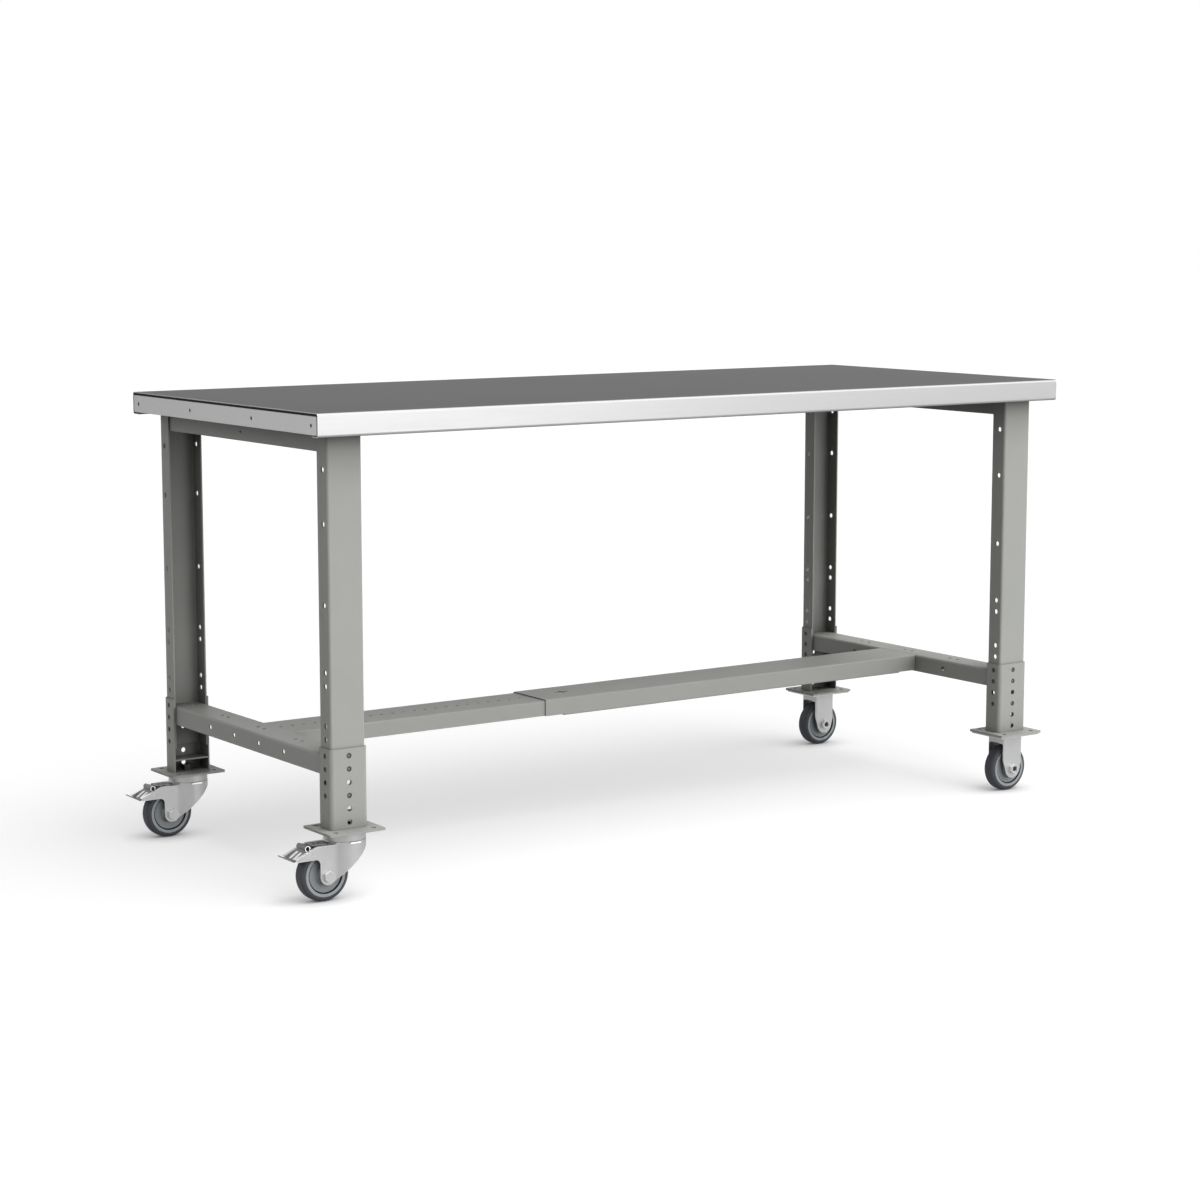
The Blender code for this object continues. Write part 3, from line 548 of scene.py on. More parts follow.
# %% Recipe for a finish
# Near black of the painted shade in corners.
CORNER_SHADE_COLOUR = (0.03, 0.03, 0.028, 1)


def even(count):
    """Three times the same: a count per metre along each axis, or a grey."""
    return (count, count, count)


def effect(tree, kind, values):
    """One of the groups, placed with its own values."""
    return add(tree, "ShaderNodeGroup", values, node_tree=kind)


def faded(tree, under, mask, share, colour):
    """Fades what is under to a colour where the mask is high, by the share at most."""
    part = add(tree, "ShaderNodeMath", {1: share}, operation="MULTIPLY")
    mix = add(tree, "ShaderNodeMix", {MIX_B: colour}, data_type="RGBA")
    wire(tree, ((mask, "Mask"), (part, 0)), ((part, 0), (mix, "Factor")), (under, (mix, MIX_A)))
    return mix


def finish(name, colour, metallic, rough, patch, fine, edge, relief, gloss=0.5, corner=(0.03, 0.2)):
    """rough: (low, high, per metre); patch and fine: (spread, per metre); edge: (colour, width, share);
    relief: (depth, per metre); gloss: the shader's specular level; corner: (reach, painted shade's share)."""
    made = bpy.data.materials.new(name)
    made.use_nodes = True
    tree = made.node_tree
    shader = tree.nodes["Principled BSDF"]
    shader.inputs["Metallic"].default_value = metallic
    shader.inputs["Specular IOR Level"].default_value = gloss
    slow = effect(tree, TINT, {"Color": (*colour, 1), "Spread": patch[0], "Per metre": patch[1]})
    quick = effect(tree, TINT, {"Spread": fine[0], "Per metre": fine[1]})
    # Edges get their own colour: a painted highlight where lighter, painted shade where darker.
    rim = effect(tree, EDGES, {"Width": edge[1]})
    painted_edges = faded(tree, (quick, "Color"), rim, edge[2], (*edge[0], 1))
    # Corners fade towards near black: painted shade.
    nook = effect(tree, NOOKS, {"Reach": corner[0]})
    corner_shaded = faded(tree, (painted_edges, MIX_RESULT), nook, corner[1], CORNER_SHADE_COLOUR)
    sheen = effect(tree, GRAIN, {"Per metre": rough[2]})
    dull = add(tree, "ShaderNodeMapRange", {"To Min": rough[0], "To Max": rough[1]})
    height = effect(tree, GRAIN, {"Per metre": relief[1]})
    bump = add(tree, "ShaderNodeBump", {"Strength": 1.0, "Distance": relief[0]})
    wire(
        tree, ((slow, "Color"), (quick, "Color")), ((corner_shaded, MIX_RESULT), (shader, "Base Color")),
        ((sheen, "Value"), (dull, "Value")), ((dull, "Result"), (shader, "Roughness")),
        ((height, "Value"), (bump, "Height")), ((bump, "Normal"), (shader, "Normal")),
    )
    return made


print("recipe ready, with painted_shade", CORNER_SHADE_COLOUR[:3])

# %% Coat, steel and zinc
LOW_REFLECTION = 0.03


def powder_coat():
    """Warm grey powder coat with a fine orange peel, whose darker edges and corners are painted shade."""
    return finish(
        "powder_coat", (0.435, 0.442, 0.415), metallic=0.0, rough=(0.42, 0.58, even(220)),
        patch=(0.08, even(9)), fine=(0.10, even(520)), edge=((0.20, 0.205, 0.19), 0.0022, 0.6),
        relief=(0.00010, even(700)), gloss=0.25, corner=(0.10, 0.95),
    )


def brushed_steel(name, shade, edge_shade):
    """Stainless sheet, brushed along the bench. Its specular tint keeps low reflections dark."""
    made = finish(
        name, even(shade), metallic=1.0, rough=(0.30, 0.46, (5, 900, 900)), patch=(0.08, (1.2, 5, 5)),
        fine=(0.10, (4, 1100, 1100)), edge=(even(edge_shade), 0.0015, 0.5),
        relief=(0.00003, (6, 1500, 1500)),
    )
    shader = made.node_tree.nodes["Principled BSDF"]
    shader.distribution = "GGX"
    shader.inputs["Specular Tint"].default_value = grey(LOW_REFLECTION)
    return made


def zinc_plate(name, shade, edge_shade):
    """Zinc with faint clouds, fine rolling marks and edges painted lighter as a highlight."""
    return finish(
        name, even(shade), metallic=0.7, rough=(0.30, 0.46, even(140)), patch=(0.14, even(45)),
        fine=(0.08, even(900)), edge=(even(edge_shade), 0.0014, 0.85), relief=(0.00004, even(600)),
    )


COAT = powder_coat()
# Skin and end strips are one stainless steel. The strips' copy is lighter, as painted light on the end faces,
# with edges darker than it as painted shade; the skin's lighter edges are a painted highlight.
STEEL, STRIP_STEEL = brushed_steel("brushed_steel", 0.37, 0.9), brushed_steel("strip_steel", 0.53, 0.3)
# Lighter edges are a painted highlight, strong on ZINC and slight on the race's DULL_ZINC.
ZINC, DULL_ZINC = zinc_plate("zinc_plate", 0.44, 0.95), zinc_plate("dull_zinc", 0.44, 0.48)
# Near white zinc for painted highlights on lips, lug, flats, pads and roll ends.
HIGHLIGHT_ZINC = zinc_plate("bright_zinc", 0.95, 0.95)
WORN_STEEL, DARK_STEEL = zinc_plate("worn_steel", 0.16, 0.34), zinc_plate("dark_steel", 0.05, 0.10)
print("coat, steel and zinc ready")

# %% Rubber, plastic and board
def tread_rubber():
    """Dark, dull and slightly blue, with edges painted a little lighter as a highlight."""
    return finish(
        "tread_rubber", (0.052, 0.055, 0.064), metallic=0.0, rough=(0.55, 0.80, even(260)),
        patch=(0.30, even(70)), fine=(0.35, even(1200)), edge=((0.085, 0.088, 0.098), 0.001, 0.5),
        relief=(0.00012, even(900)),
    )


def rim_plastic():
    """Lighter moulded ring that holds the tread."""
    return finish(
        "rim_plastic", (0.36, 0.39, 0.41), metallic=0.0, rough=(0.40, 0.55, even(240)),
        patch=(0.10, even(60)), fine=(0.08, even(800)), edge=((0.48, 0.52, 0.54), 0.0008, 0.4),
        relief=(0.00005, even(900)),
    )


def disc_plastic():
    """Mid grey wheel disc."""
    return finish(
        "disc_plastic", (0.285, 0.310, 0.319), metallic=0.0, rough=(0.45, 0.62, even(240)),
        patch=(0.12, even(60)), fine=(0.10, even(800)), edge=((0.32, 0.345, 0.355), 0.0008, 0.4),
        relief=(0.00006, even(800)),
    )


def chip_board():
    """Board pressed from fine chips, near black as painted shade for the dark line at the worktop's ends."""
    return finish(
        "chip_board", (0.030, 0.026, 0.022), metallic=0.0, rough=(0.75, 0.95, even(120)),
        patch=(0.35, even(25)), fine=(0.9, (140, 320, 320)), edge=((0.040, 0.035, 0.030), 0.002, 0.6),
        relief=(0.0003, even(260)), gloss=0.2,
    )


RUBBER, BOARD = tread_rubber(), chip_board()
RIM_GREY, DISC_GREY = rim_plastic(), disc_plastic()
print("finishes", [made.name for made in bpy.data.materials if made.use_nodes])

# %% [markdown]
# ## What stays as it is
# The board inside the worktop, the flat stiffeners in the feet and the sleeves on the axles are plain in
# the real bench too. Their solids already have the right shape, so they only get a finish.

# %% Finish the plain solids
KEPT = {"top_core": BOARD, "foot_gusset": COAT, "axle_sleeve": ZINC}
for name, node in frame["nodes"].items():
    for kind, paint in KEPT.items():
        if name.startswith(kind):
            node.data.materials.clear()
            node.data.materials.append(paint)
            print("finished", name)

# %% [markdown]
# ## Bent sheet
# The legs, rails, beam and worktop skin are all sheet steel, folded in a press. A block without its ends
# and its open side is the outside of such a channel. Its long edges are bevelled to the bend's radius, and
# Solidify gives the wall its thickness inwards. Lips at the open side are its edges, extruded.

# %% Tool for channels
BEND_STEPS = 7
FACING = 0.9


def channel(name, low, high, run, open_to, sheet, bend, lip=0.0):
    """Channel between two corners, along one axis and open towards one side, such as ("Z", -1)."""
    made = block(name, low, high)
    centre = (Vector(low) + Vector(high)) / 2
    outwards = AXES[open_to[0]] * open_to[1]
    across = AXES[run].cross(outwards)
    edit(made)
    pick(made, "FACE", lambda f: f.normal.dot(outwards) > FACING or abs(f.normal.dot(AXES[run])) > FACING)
    bpy.ops.mesh.delete(type="FACE")
    for side in (-1, 1) if lip else ():
        pick(
            made, "EDGE",
            lambda e: e.is_boundary and along(e, run) and side * (middle(e) - centre).dot(across) > 0,
        )
        bpy.ops.mesh.extrude_region_move(TRANSFORM_OT_translate={"value": across * -side * lip})
    pick(made, "EDGE", lambda e: along(e, run) and not e.is_boundary)
    bpy.ops.mesh.bevel(offset=bend, segments=BEND_STEPS, affect="EDGES")
    leave()
    apply(made, "SOLIDIFY", thickness=sheet, offset=-1, use_even_offset=True)
    return made


print("channels ready")

# %% [markdown]
# ## The worktop
# One stainless sheet runs over the board and folds down at the front and the back, with short lips
# underneath. A strip closes each end. It sits a few millimetres below the sheet, which leaves the dark line
# that shows at the left end, and four small screws hold it to the board. The board behind that line is near
# black as painted shade. A plain box would do for the top face, but only a bent sheet has the soft front
# edge and the open ends.

# %% Worktop skin
SKIN_SHEET = 0.0019
SKIN_BEND = 0.005
SKIN_LIP = 0.022

low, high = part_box("top_skin")
skin = channel("skin", low, high, "X", ("Z", -1), SKIN_SHEET, SKIN_BEND, SKIN_LIP)
soften(skin)
dress(skin, "top_skin", STEEL)
print("worktop skin", len(skin.data.polygons), "faces")

# %% End strips and their screws
STRIP_GAP = 0.0018
SCREW_INSET = 0.025
SCREW_PITCH = 0.254
SCREW_BORE = 0.0070
SCREW_HEAD = 0.0062
SCREW_LENGTH = 0.004
SCREW_SINK = 0.0014
SCREW_EDGE = 0.0001
SCREW_SIDES = 24
RECESS_DEPTH = 0.0012
RECESS_LENGTH = 0.0026
RECESS_WIDTH = 0.0006
CLEAR = 0.02


def cap_screw(place, outwards):
    """Countersunk screw with a cross recess, set a little below the strip's face."""
    centre = place - outwards * (SCREW_LENGTH / 2 + SCREW_SINK)
    made = rod("screw", SCREW_HEAD / 2, "X", centre, SCREW_LENGTH, SCREW_SIDES)
    recess = place - outwards * SCREW_SINK
    for wide, high in ((RECESS_LENGTH, RECESS_WIDTH), (RECESS_WIDTH, RECESS_LENGTH)):
        reach = Vector((RECESS_DEPTH, wide, high)) / 2
        combine(made, block("recess", recess - reach, recess + reach), "DIFFERENCE")
    soften(made, SCREW_EDGE)
    return made


for side, sign in (("left", -1), ("right", 1)):
    low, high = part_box("end_cap_" + side)
    strip = block("strip", low + Vector((0, STRIP_GAP, 0)), high - Vector((0, STRIP_GAP, 0)))
    reach = (high.y - low.y) / 2 + (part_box("top_skin")[1].y - high.y) - SCREW_INSET
    heights = (low.z + high.z) / 2
    face = low.x if sign < 0 else high.x
    places = [Vector((face, y, heights)) for y in (-reach, -SCREW_PITCH / 2, SCREW_PITCH / 2, reach)]
    drill(strip, SCREW_BORE, "X", places, CLEAR)
    soften(strip)
    dress(strip, "end_cap_" + side, STRIP_STEEL)
    for number, place in enumerate(places):
        screw = cap_screw(place, Vector((sign, 0, 0)))
        screw.data.materials.append(DARK_STEEL)
        add_on(screw, f"cap_screw_{side}_{number + 1}", "frame")
print("end strips with", len(places), "screws each")

# %% [markdown]
# ## The legs
# Every upright is a channel with its web outwards. Round holes run down its two flanges, in the steps of a
# 25 mm grid, and one hole in the web takes the bolt of the foot. One leg is made at the front left. The
# others are copies: the rear ones are turned half round, so that their webs face back. An array would be
# one object, while every copy has a mesh of its own and can be turned.

# %% Tool for copies at the corners
FOOT = {corner: middle_of("base_plate_" + corner) for corner in CORNERS}
REAR = ("rear_left", "rear_right")


def twins(made, places, start, half_round=()):
    """Copies a piece from its start to each corner's place. The first one is used up."""
    made_twins = {}
    for corner, place in places.items():
        turn = math.pi if corner in half_round else 0
        made_twins[corner] = copied(made, place - start, turn, start)
    bpy.data.objects.remove(made)
    return made_twins.items()


def spread(made, kind, paint, places, start, half_round=()):
    """Copies a piece to its corners and dresses each copy."""
    for corner, twin in twins(made, places, start, half_round):
        dress(twin, f"{kind}_{corner}", paint)


print("corners", list(FOOT))

# %% Uprights
HOLE_PITCH = 0.025
UPRIGHT_SHEET = 0.003
UPRIGHT_BEND = 0.005
UPRIGHT_HOLE = 0.0105
HOLE_LINE = 0.0172
FIRST_HOLE = 0.0664
HOLE_STEPS = (0, 4, 10, 15, 16, 19, 20)
SLEEVE_HOLE = 0.010
SLEEVE_FIRST_HOLE = 0.0143
SLEEVE_FLANGE_HOLES = 4
LOCK_STEPS = 2
THROUGH = 0.12

low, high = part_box("upright_front_left")
sleeve_low, sleeve_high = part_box("foot_sleeve_front_left")
leg_x = FOOT["front_left"].x
lock = sleeve_high.z - SLEEVE_FIRST_HOLE - LOCK_STEPS * HOLE_PITCH
upright = channel("upright", low, high, "Z", ("Y", 1), UPRIGHT_SHEET, UPRIGHT_BEND)
heights = [high.z - FIRST_HOLE - step * HOLE_PITCH for step in HOLE_STEPS] + [lock]
drill(upright, UPRIGHT_HOLE, "X", [(leg_x, low.y + HOLE_LINE, z) for z in heights], THROUGH)
drill(upright, SLEEVE_HOLE, "Y", [(leg_x, low.y, lock)], CLEAR)
soften(upright)
spread(upright, "upright", COAT, FOOT, FOOT["front_left"], REAR)
print("uprights with", len(heights), "holes a flange")

# %% [markdown]
# ## The feet
# A wider channel slides on the upright's lower end and is bolted through one of its holes, which sets the
# bench's height. A drilled plate is welded under it for the caster. Holes could be painted on, but light
# falls through the open ones, so they are cut.

# %% Foot sleeves
SLEEVE_SHEET = 0.0027
SLEEVE_BEND = 0.008
SLEEVE_WEB_HOLES = 6

low, high = sleeve_low, sleeve_high
sleeve = channel("sleeve", low, high, "Z", ("Y", 1), SLEEVE_SHEET, SLEEVE_BEND)
heights = [high.z - SLEEVE_FIRST_HOLE - i * HOLE_PITCH for i in range(SLEEVE_WEB_HOLES)]
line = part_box("upright_front_left")[0].y + HOLE_LINE
drill(sleeve, SLEEVE_HOLE, "X", [(leg_x, line, z) for z in heights[:SLEEVE_FLANGE_HOLES]], THROUGH)
drill(sleeve, SLEEVE_HOLE, "Y", [(leg_x, low.y, z) for z in heights], CLEAR)
soften(sleeve)
spread(sleeve, "foot_sleeve", COAT, FOOT, FOOT["front_left"], REAR)
print("sleeves with", len(heights), "holes in the web")

# %% Base plates
PLATE_CORNER = 0.003
PLATE_BOLTS = (0.080, 0.0765)
PLATE_BOLT_BORE = 0.0105
PLATE_CENTRE_BORE = 0.0128


def drilled_plate(name, low, high):
    """Plate with round corners and four bolt holes."""
    made = round_block(name, low, high, PLATE_CORNER, BEND_STEPS)
    centre = (low + high) / 2
    across, deep = PLATE_BOLTS[0] / 2, PLATE_BOLTS[1] / 2
    bolts = [centre + Vector((x, y, 0)) for x in (-across, across) for y in (-deep, deep)]
    drill(made, PLATE_BOLT_BORE, "Z", bolts, CLEAR)
    return made


plate = drilled_plate("plate", *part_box("base_plate_front_left"))
drill(plate, PLATE_CENTRE_BORE, "Z", [FOOT["front_left"]], CLEAR)
soften(plate)
spread(plate, "base_plate", COAT, FOOT, FOOT["front_left"], REAR)
for corner in RIGHT:
    plate = drilled_plate("plate", *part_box("rigid_plate_" + corner))
    soften(plate)
    dress(plate, "rigid_plate_" + corner, ZINC)
print("base plates ready")

# %% [markdown]
# ## Dark plugs in the feet's holes
# Short dark rods fill the sleeve's upper holes but one, which stays open all through. They are painted
# shade for the insides of the holes, a little below the sheet, and those in the web have a grey core, painted
# as the lit web seen through a hole. A hole could be painted dark, but a short rod in it looks right from
# every side.

# %% Dark plugs in the holes
SHADE_PLUG_WIDTH = 0.0096
SHADE_PLUG_CORE = 0.0046
SHADE_PLUG_SINK = 0.0011
SHADE_PLUG_EDGE = 0.0002
SEAM = 0.0003

low, high = sleeve_low, sleeve_high
inside = SLEEVE_SHEET - SHADE_PLUG_SINK
taken = [z for i, z in enumerate(heights[:SLEEVE_FLANGE_HOLES]) if i != LOCK_STEPS]
in_web = [("Y", (leg_x, low.y + SHADE_PLUG_SINK + inside / 2, z)) for z in taken]
sides = (low.x + SHADE_PLUG_SINK + inside / 2, high.x - SHADE_PLUG_SINK - inside / 2)
in_flanges = [("X", (x, line, z)) for x in sides for z in taken]


def shade_plug_rod(width, axis, place, length, paint):
    """Short round rod with a finish."""
    made = rod("bolt_end", width / 2, axis, place, length, SCREW_SIDES)
    made.data.materials.append(paint)
    return made


# Dark plugs are painted shade in the holes; the web's grey cores are painted as the lit web behind.
ends = [shade_plug_rod(SHADE_PLUG_WIDTH, axis, place, inside - SEAM, DARK_STEEL) for axis, place in in_web + in_flanges]
ends += [shade_plug_rod(SHADE_PLUG_CORE, axis, place, inside + SEAM, WORN_STEEL) for axis, place in in_web]
shade_plugs = joined(ends)
soften(shade_plugs, SHADE_PLUG_EDGE)
for corner, twin in twins(shade_plugs, FOOT, FOOT["front_left"], REAR):
    add_on(twin, "bolt_ends_" + corner, BODY_OF["foot_sleeve_" + corner])
print("bolt ends", len(in_web + in_flanges), "a foot")

# %% [markdown]
# ## The rails and the beam
# Two channels, open downwards, join the front and rear legs at each end: one under the worktop and one near
# the floor. The lower pair carries a beam of two channels that slide into each other, the outer with lips
# and a crossed slot, the inner with a row of holes. The tool for channels bends all six, because only their
# sizes, lips and holes differ.

# %% Rails
RAIL_SHEET = 0.0025
RAIL_BEND = 0.005
UPPER_RAIL_BORE = 0.005
RAIL_SIDE_BORE = 0.0095
RAIL_SIDE_PITCH = 0.1016
RAIL_SIDE_HOLES = 4
RAIL_TOP_BORE = 0.0080
RAIL_TOP_PITCH = 0.1524
RAIL_TOP_PAIRS = 5
SMALL_HOLE_SIDES = 20


def row(count, pitch):
    """Places along a line, evenly about its middle."""
    return [(i - (count - 1) / 2) * pitch for i in range(count)]


for side in ("left", "right"):
    low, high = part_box("upper_rail_" + side)
    rail = channel("rail", low, high, "Y", ("Z", -1), RAIL_SHEET, RAIL_BEND)
    drill(rail, UPPER_RAIL_BORE, "X", [(low + high) / 2], THROUGH)
    soften(rail)
    dress(rail, "upper_rail_" + side, COAT)
    low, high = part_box("lower_rail_" + side)
    centre = (low + high) / 2
    rail = channel("rail", low, high, "Y", ("Z", -1), RAIL_SHEET, RAIL_BEND)
    places = [centre + Vector((0, y, 0)) for y in row(RAIL_SIDE_HOLES, RAIL_SIDE_PITCH)]
    drill(rail, RAIL_SIDE_BORE, "X", places, THROUGH)
    pairs = [y + dy for y in row(RAIL_TOP_PAIRS, RAIL_TOP_PITCH) for dy in row(2, HOLE_PITCH)]
    drill(rail, RAIL_TOP_BORE, "Z", [(centre.x, y, high.z) for y in pairs], CLEAR, SMALL_HOLE_SIDES)
    soften(rail)
    dress(rail, "lower_rail_" + side, COAT)
print("rails ready")

# %% Beam of two sliding channels
BEAM_SHEET = 0.002
BEAM_BEND = 0.003
BEAM_LIP = 0.018
LIP_SETBACK = 0.0475
LIP_NOTCH = 0.0025
CROSS_SETBACK = 0.080
CROSS_LENGTH = 0.033
CROSS_WIDTH = 0.022
CROSS_SLOT = 0.005
ROW_START = 0.026
ROW_PITCH = 0.0254
ROW_HOLES = 23
ROW_BORE = 0.0068

outer_low, outer_high = low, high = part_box("stringer_outer")
beam = channel("beam", low, high, "X", ("Z", -1), BEAM_SHEET, BEAM_BEND, BEAM_LIP)
for start, end in ((low.x - CLEAR, low.x + LIP_SETBACK), (high.x - LIP_SETBACK, high.x + CLEAR)):
    notch = block("notch", (start, low.y - CLEAR, low.z - CLEAR), (end, high.y + CLEAR, low.z + LIP_NOTCH))
    combine(beam, notch, "DIFFERENCE")
cross = Vector((low.x + CROSS_SETBACK, 0, high.z))
for length, width in ((CROSS_LENGTH, CROSS_SLOT), (CROSS_SLOT, CROSS_WIDTH)):
    reach = Vector((length, width, CLEAR)) / 2
    combine(beam, block("slot", cross - reach, cross + reach), "DIFFERENCE")
soften(beam)
dress(beam, "stringer_outer", COAT)

low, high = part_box("stringer_inner")
beam = channel("beam", low, high, "X", ("Z", -1), BEAM_SHEET, BEAM_BEND)
places = [(outer_low.x - ROW_START - i * ROW_PITCH, 0, high.z) for i in range(ROW_HOLES)]
drill(beam, ROW_BORE, "Z", places, CLEAR, SMALL_HOLE_SIDES)
soften(beam)
dress(beam, "stringer_inner", COAT)
print("beam ready, with", ROW_HOLES, "holes in its inner part")

# %% [markdown]
# ## Turned and pressed shapes
# Wheels and races are turned: a closed profile is spun about an axis. Forks are pressed from plate: their
# plan and their side view are drawn as outlines, extruded and intersected, and what remains is hollowed.
# Both start from a circle whose corners are moved to the outline.

# %% Tools for outlines and turned shapes
ROUND_STEPS = 10
TURN_SIDES = 96
DOUBLES = 0.000001


def arc(centre, radius, start, end, steps=ROUND_STEPS):
    """Points from one angle to the other, in degrees, both ends included."""
    turns = [math.radians(start + (end - start) * i / steps) for i in range(steps + 1)]
    return [(centre[0] + radius * math.cos(t), centre[1] + radius * math.sin(t)) for t in turns]


def tangent_angle(centre, radius, point, side):
    """Direction, in degrees, from a circle's centre to where a line from the point touches it."""
    run, rise = point[0] - centre[0], point[1] - centre[1]
    spread_angle = math.degrees(math.acos(radius / math.hypot(run, rise)))
    return math.degrees(math.atan2(rise, run)) + side * spread_angle


def through(name, corners, fill):
    """Closed line or one face through the corners."""
    bpy.ops.object.select_all(action="DESELECT")
    bpy.ops.mesh.primitive_circle_add(vertices=len(corners), fill_type=fill)
    made = bpy.context.object
    made.name = name
    for corner, place in zip(made.data.vertices, corners):
        corner.co = place
    return made


def close_up():
    """In edit mode, merges doubled corners, turns all faces outwards and leaves."""
    bpy.ops.mesh.select_all(action="SELECT")
    bpy.ops.mesh.remove_doubles(threshold=DOUBLES)
    bpy.ops.mesh.normals_make_consistent(inside=False)
    leave()


def outlined(name, points, axis, low, high):
    """Outline across an axis, extruded along it."""
    lay = {"X": lambda a, b: (low, a, b), "Y": lambda a, b: (a, low, b), "Z": lambda a, b: (a, b, low)}[axis]
    made = through(name, [lay(a, b) for a, b in points], "NGON")
    edit(made)
    bpy.ops.mesh.select_all(action="SELECT")
    bpy.ops.mesh.extrude_region_move(TRANSFORM_OT_translate={"value": AXES[axis] * (high - low)})
    close_up()
    return made


def turned(name, profile, axis):
    """Closed (radius, height) profile, spun about an axis through the origin."""
    lay = {"Y": lambda out, along_it: (0, along_it, out), "Z": lambda out, along_it: (0, out, along_it)}[axis]
    made = through(name, [lay(*point) for point in profile], "NOTHING")
    edit(made)
    bpy.ops.mesh.select_all(action="SELECT")
    bpy.ops.mesh.spin(steps=TURN_SIDES, angle=math.tau, center=(0, 0, 0), axis=AXES[axis])
    close_up()
    return made


def both_faces(profile):
    """A profile's upper half and its mirror image below."""
    return profile + [(radius, -height) for radius, height in profile[::-1]]


print("outline and turning tools ready")

# %% [markdown]
# ## The wheels
# A grey plastic disc carries an elastic tread with round shoulders. The disc has a lighter ring at its rim
# and a groove inside the ring, whose faces get the tread's dark rubber as painted shade, so that it shows as
# a dark circle. Tread and disc are two turned pieces. A bevelled cylinder would give a tread too, but a
# profile also holds the groove and the hub's steps.

# %% Treads
WHEEL_RADIUS = 0.0508
TYRE_HALF = 0.015
TYRE_SHOULDER = 0.0088

ORIGIN = Vector((0, 0, 0))
WHEEL = {corner: middle_of("tyre_" + corner) for corner in CORNERS}

shoulder = arc((WHEEL_RADIUS - TYRE_SHOULDER, TYRE_HALF - TYRE_SHOULDER), TYRE_SHOULDER, 0, 90)
tread = turned("tread", both_faces(shoulder), "Y")
soften(tread)
spread(tread, "tyre", RUBBER, WHEEL, ORIGIN)
print("treads ready")

# %% Discs
RIM = 0.0417
RING_INNER = 0.0357
GROOVE_INNER = 0.0337
GROOVE_FLOOR = 0.0040
DISC_FACE = 0.0122
HUB_RADIUS = 0.0145
HUB_HALF = 0.0220
HUB_BORE = 0.0086
HUB_STEP = 0.002


def out_from_axle(face):
    """Distance from the axle's line to the middle of a face."""
    centre = face.calc_center_median()
    return math.hypot(centre.x, centre.z)


def in_groove(face):
    """True between the disc and its ring, below the disc's face."""
    deep = abs(face.calc_center_median().y) < DISC_FACE
    return deep and GROOVE_INNER - SEAM < out_from_axle(face) < RING_INNER


def paint_faces(made, first, second, wanted):
    """Gives the piece its first finish, if one is named, and the wanted faces a second one."""
    if first:
        made.data.materials.clear()
        made.data.materials.append(first)
    made.data.materials.append(second)
    edit(made)
    pick(made, "FACE", wanted)
    made.active_material_index = len(made.data.materials) - 1
    bpy.ops.object.material_slot_assign()
    leave()


face = TYRE_HALF - SEAM
profile = [(RIM, face), (RING_INNER, face), (RING_INNER - SEAM, GROOVE_FLOOR), (GROOVE_INNER, GROOVE_FLOOR)]
profile += [(GROOVE_INNER - SEAM, DISC_FACE), (HUB_RADIUS + HUB_STEP, DISC_FACE)]
profile += [(HUB_RADIUS, DISC_FACE + HUB_STEP), (HUB_RADIUS, HUB_HALF), (HUB_BORE, HUB_HALF)]
disc = turned("disc", both_faces(profile), "Y")
paint_faces(disc, RIM_GREY, DISC_GREY, lambda f: out_from_axle(f) < RING_INNER)
# The groove's faces get the dark rubber as painted shade.
paint_faces(disc, None, RUBBER, in_groove)
soften(disc)
spread(disc, "wheel_core", None, WHEEL, ORIGIN)
print("discs ready")

# %% [markdown]
# ## The axles
# A hexagon bolt runs through fork and wheel, with a nut at its other end. The corners of a real head are
# turned off by a cone, so the hexagon is intersected with a chamfered rod. The swivel casters show the head
# and the fixed casters show the nut, with the hollow end of the thread a little inside it. That hollow end
# is painted dark as shade, and the flats of head and nut are painted bright as a highlight.

# %% Tool for hexagons
BOLT_HEX = 0.019
HEX_SIDES = 6
HEX_TURNED_OFF = 0.0009
CONE_BACK = 0.002
CONE_MARGIN = 1.01
BAR_SIDES = 48
TOUCH = 0.00001


def at_level(edge, axis, level):
    """True if the edge lies at this height along the axis."""
    return abs(middle(edge).dot(AXES[axis]) - level) < TOUCH


def chamfered_rod(name, radius, axis, start, end, chamfer):
    """Round bar from one level to another, with its far end chamfered."""
    made = rod(name, radius, axis, AXES[axis] * (start + end) / 2, abs(end - start), BAR_SIDES)
    round_edges(made, lambda e: at_level(e, axis, end), chamfer, 1)
    return made


def hexagon(name, axis, start, end):
    """Hexagon from its seat to its free end, whose corners are turned off."""
    corner = BOLT_HEX / 2 / math.cos(math.pi / HEX_SIDES)
    made = rod(name, corner, axis, AXES[axis] * (start + end) / 2, abs(end - start), HEX_SIDES)
    below = start - math.copysign(CONE_BACK, end - start)
    cone = chamfered_rod("cone", corner * CONE_MARGIN, axis, below, end, HEX_TURNED_OFF)
    combine(made, cone, "INTERSECT")
    return made


print("hexagons", BOLT_HEX, "m over their flats")

# %% Axle bolts
FORK_WIDTH = 0.051
AXLE_RADIUS = 0.006
AXLE_HEAD = 0.0075
FINE_EDGE = 0.0003
NUT_RECESS = 0.0018
RECESS_DEEPER = 1.2
SHANK_ROOT = 0.001
THREAD_CHAMFER = 0.0006
THREAD_GAP = 0.0006
THREAD_END = 0.0034
THREAD_HOLLOW = 0.0015
PIN_SIDES = 40
SIDEWAYS = 0.3

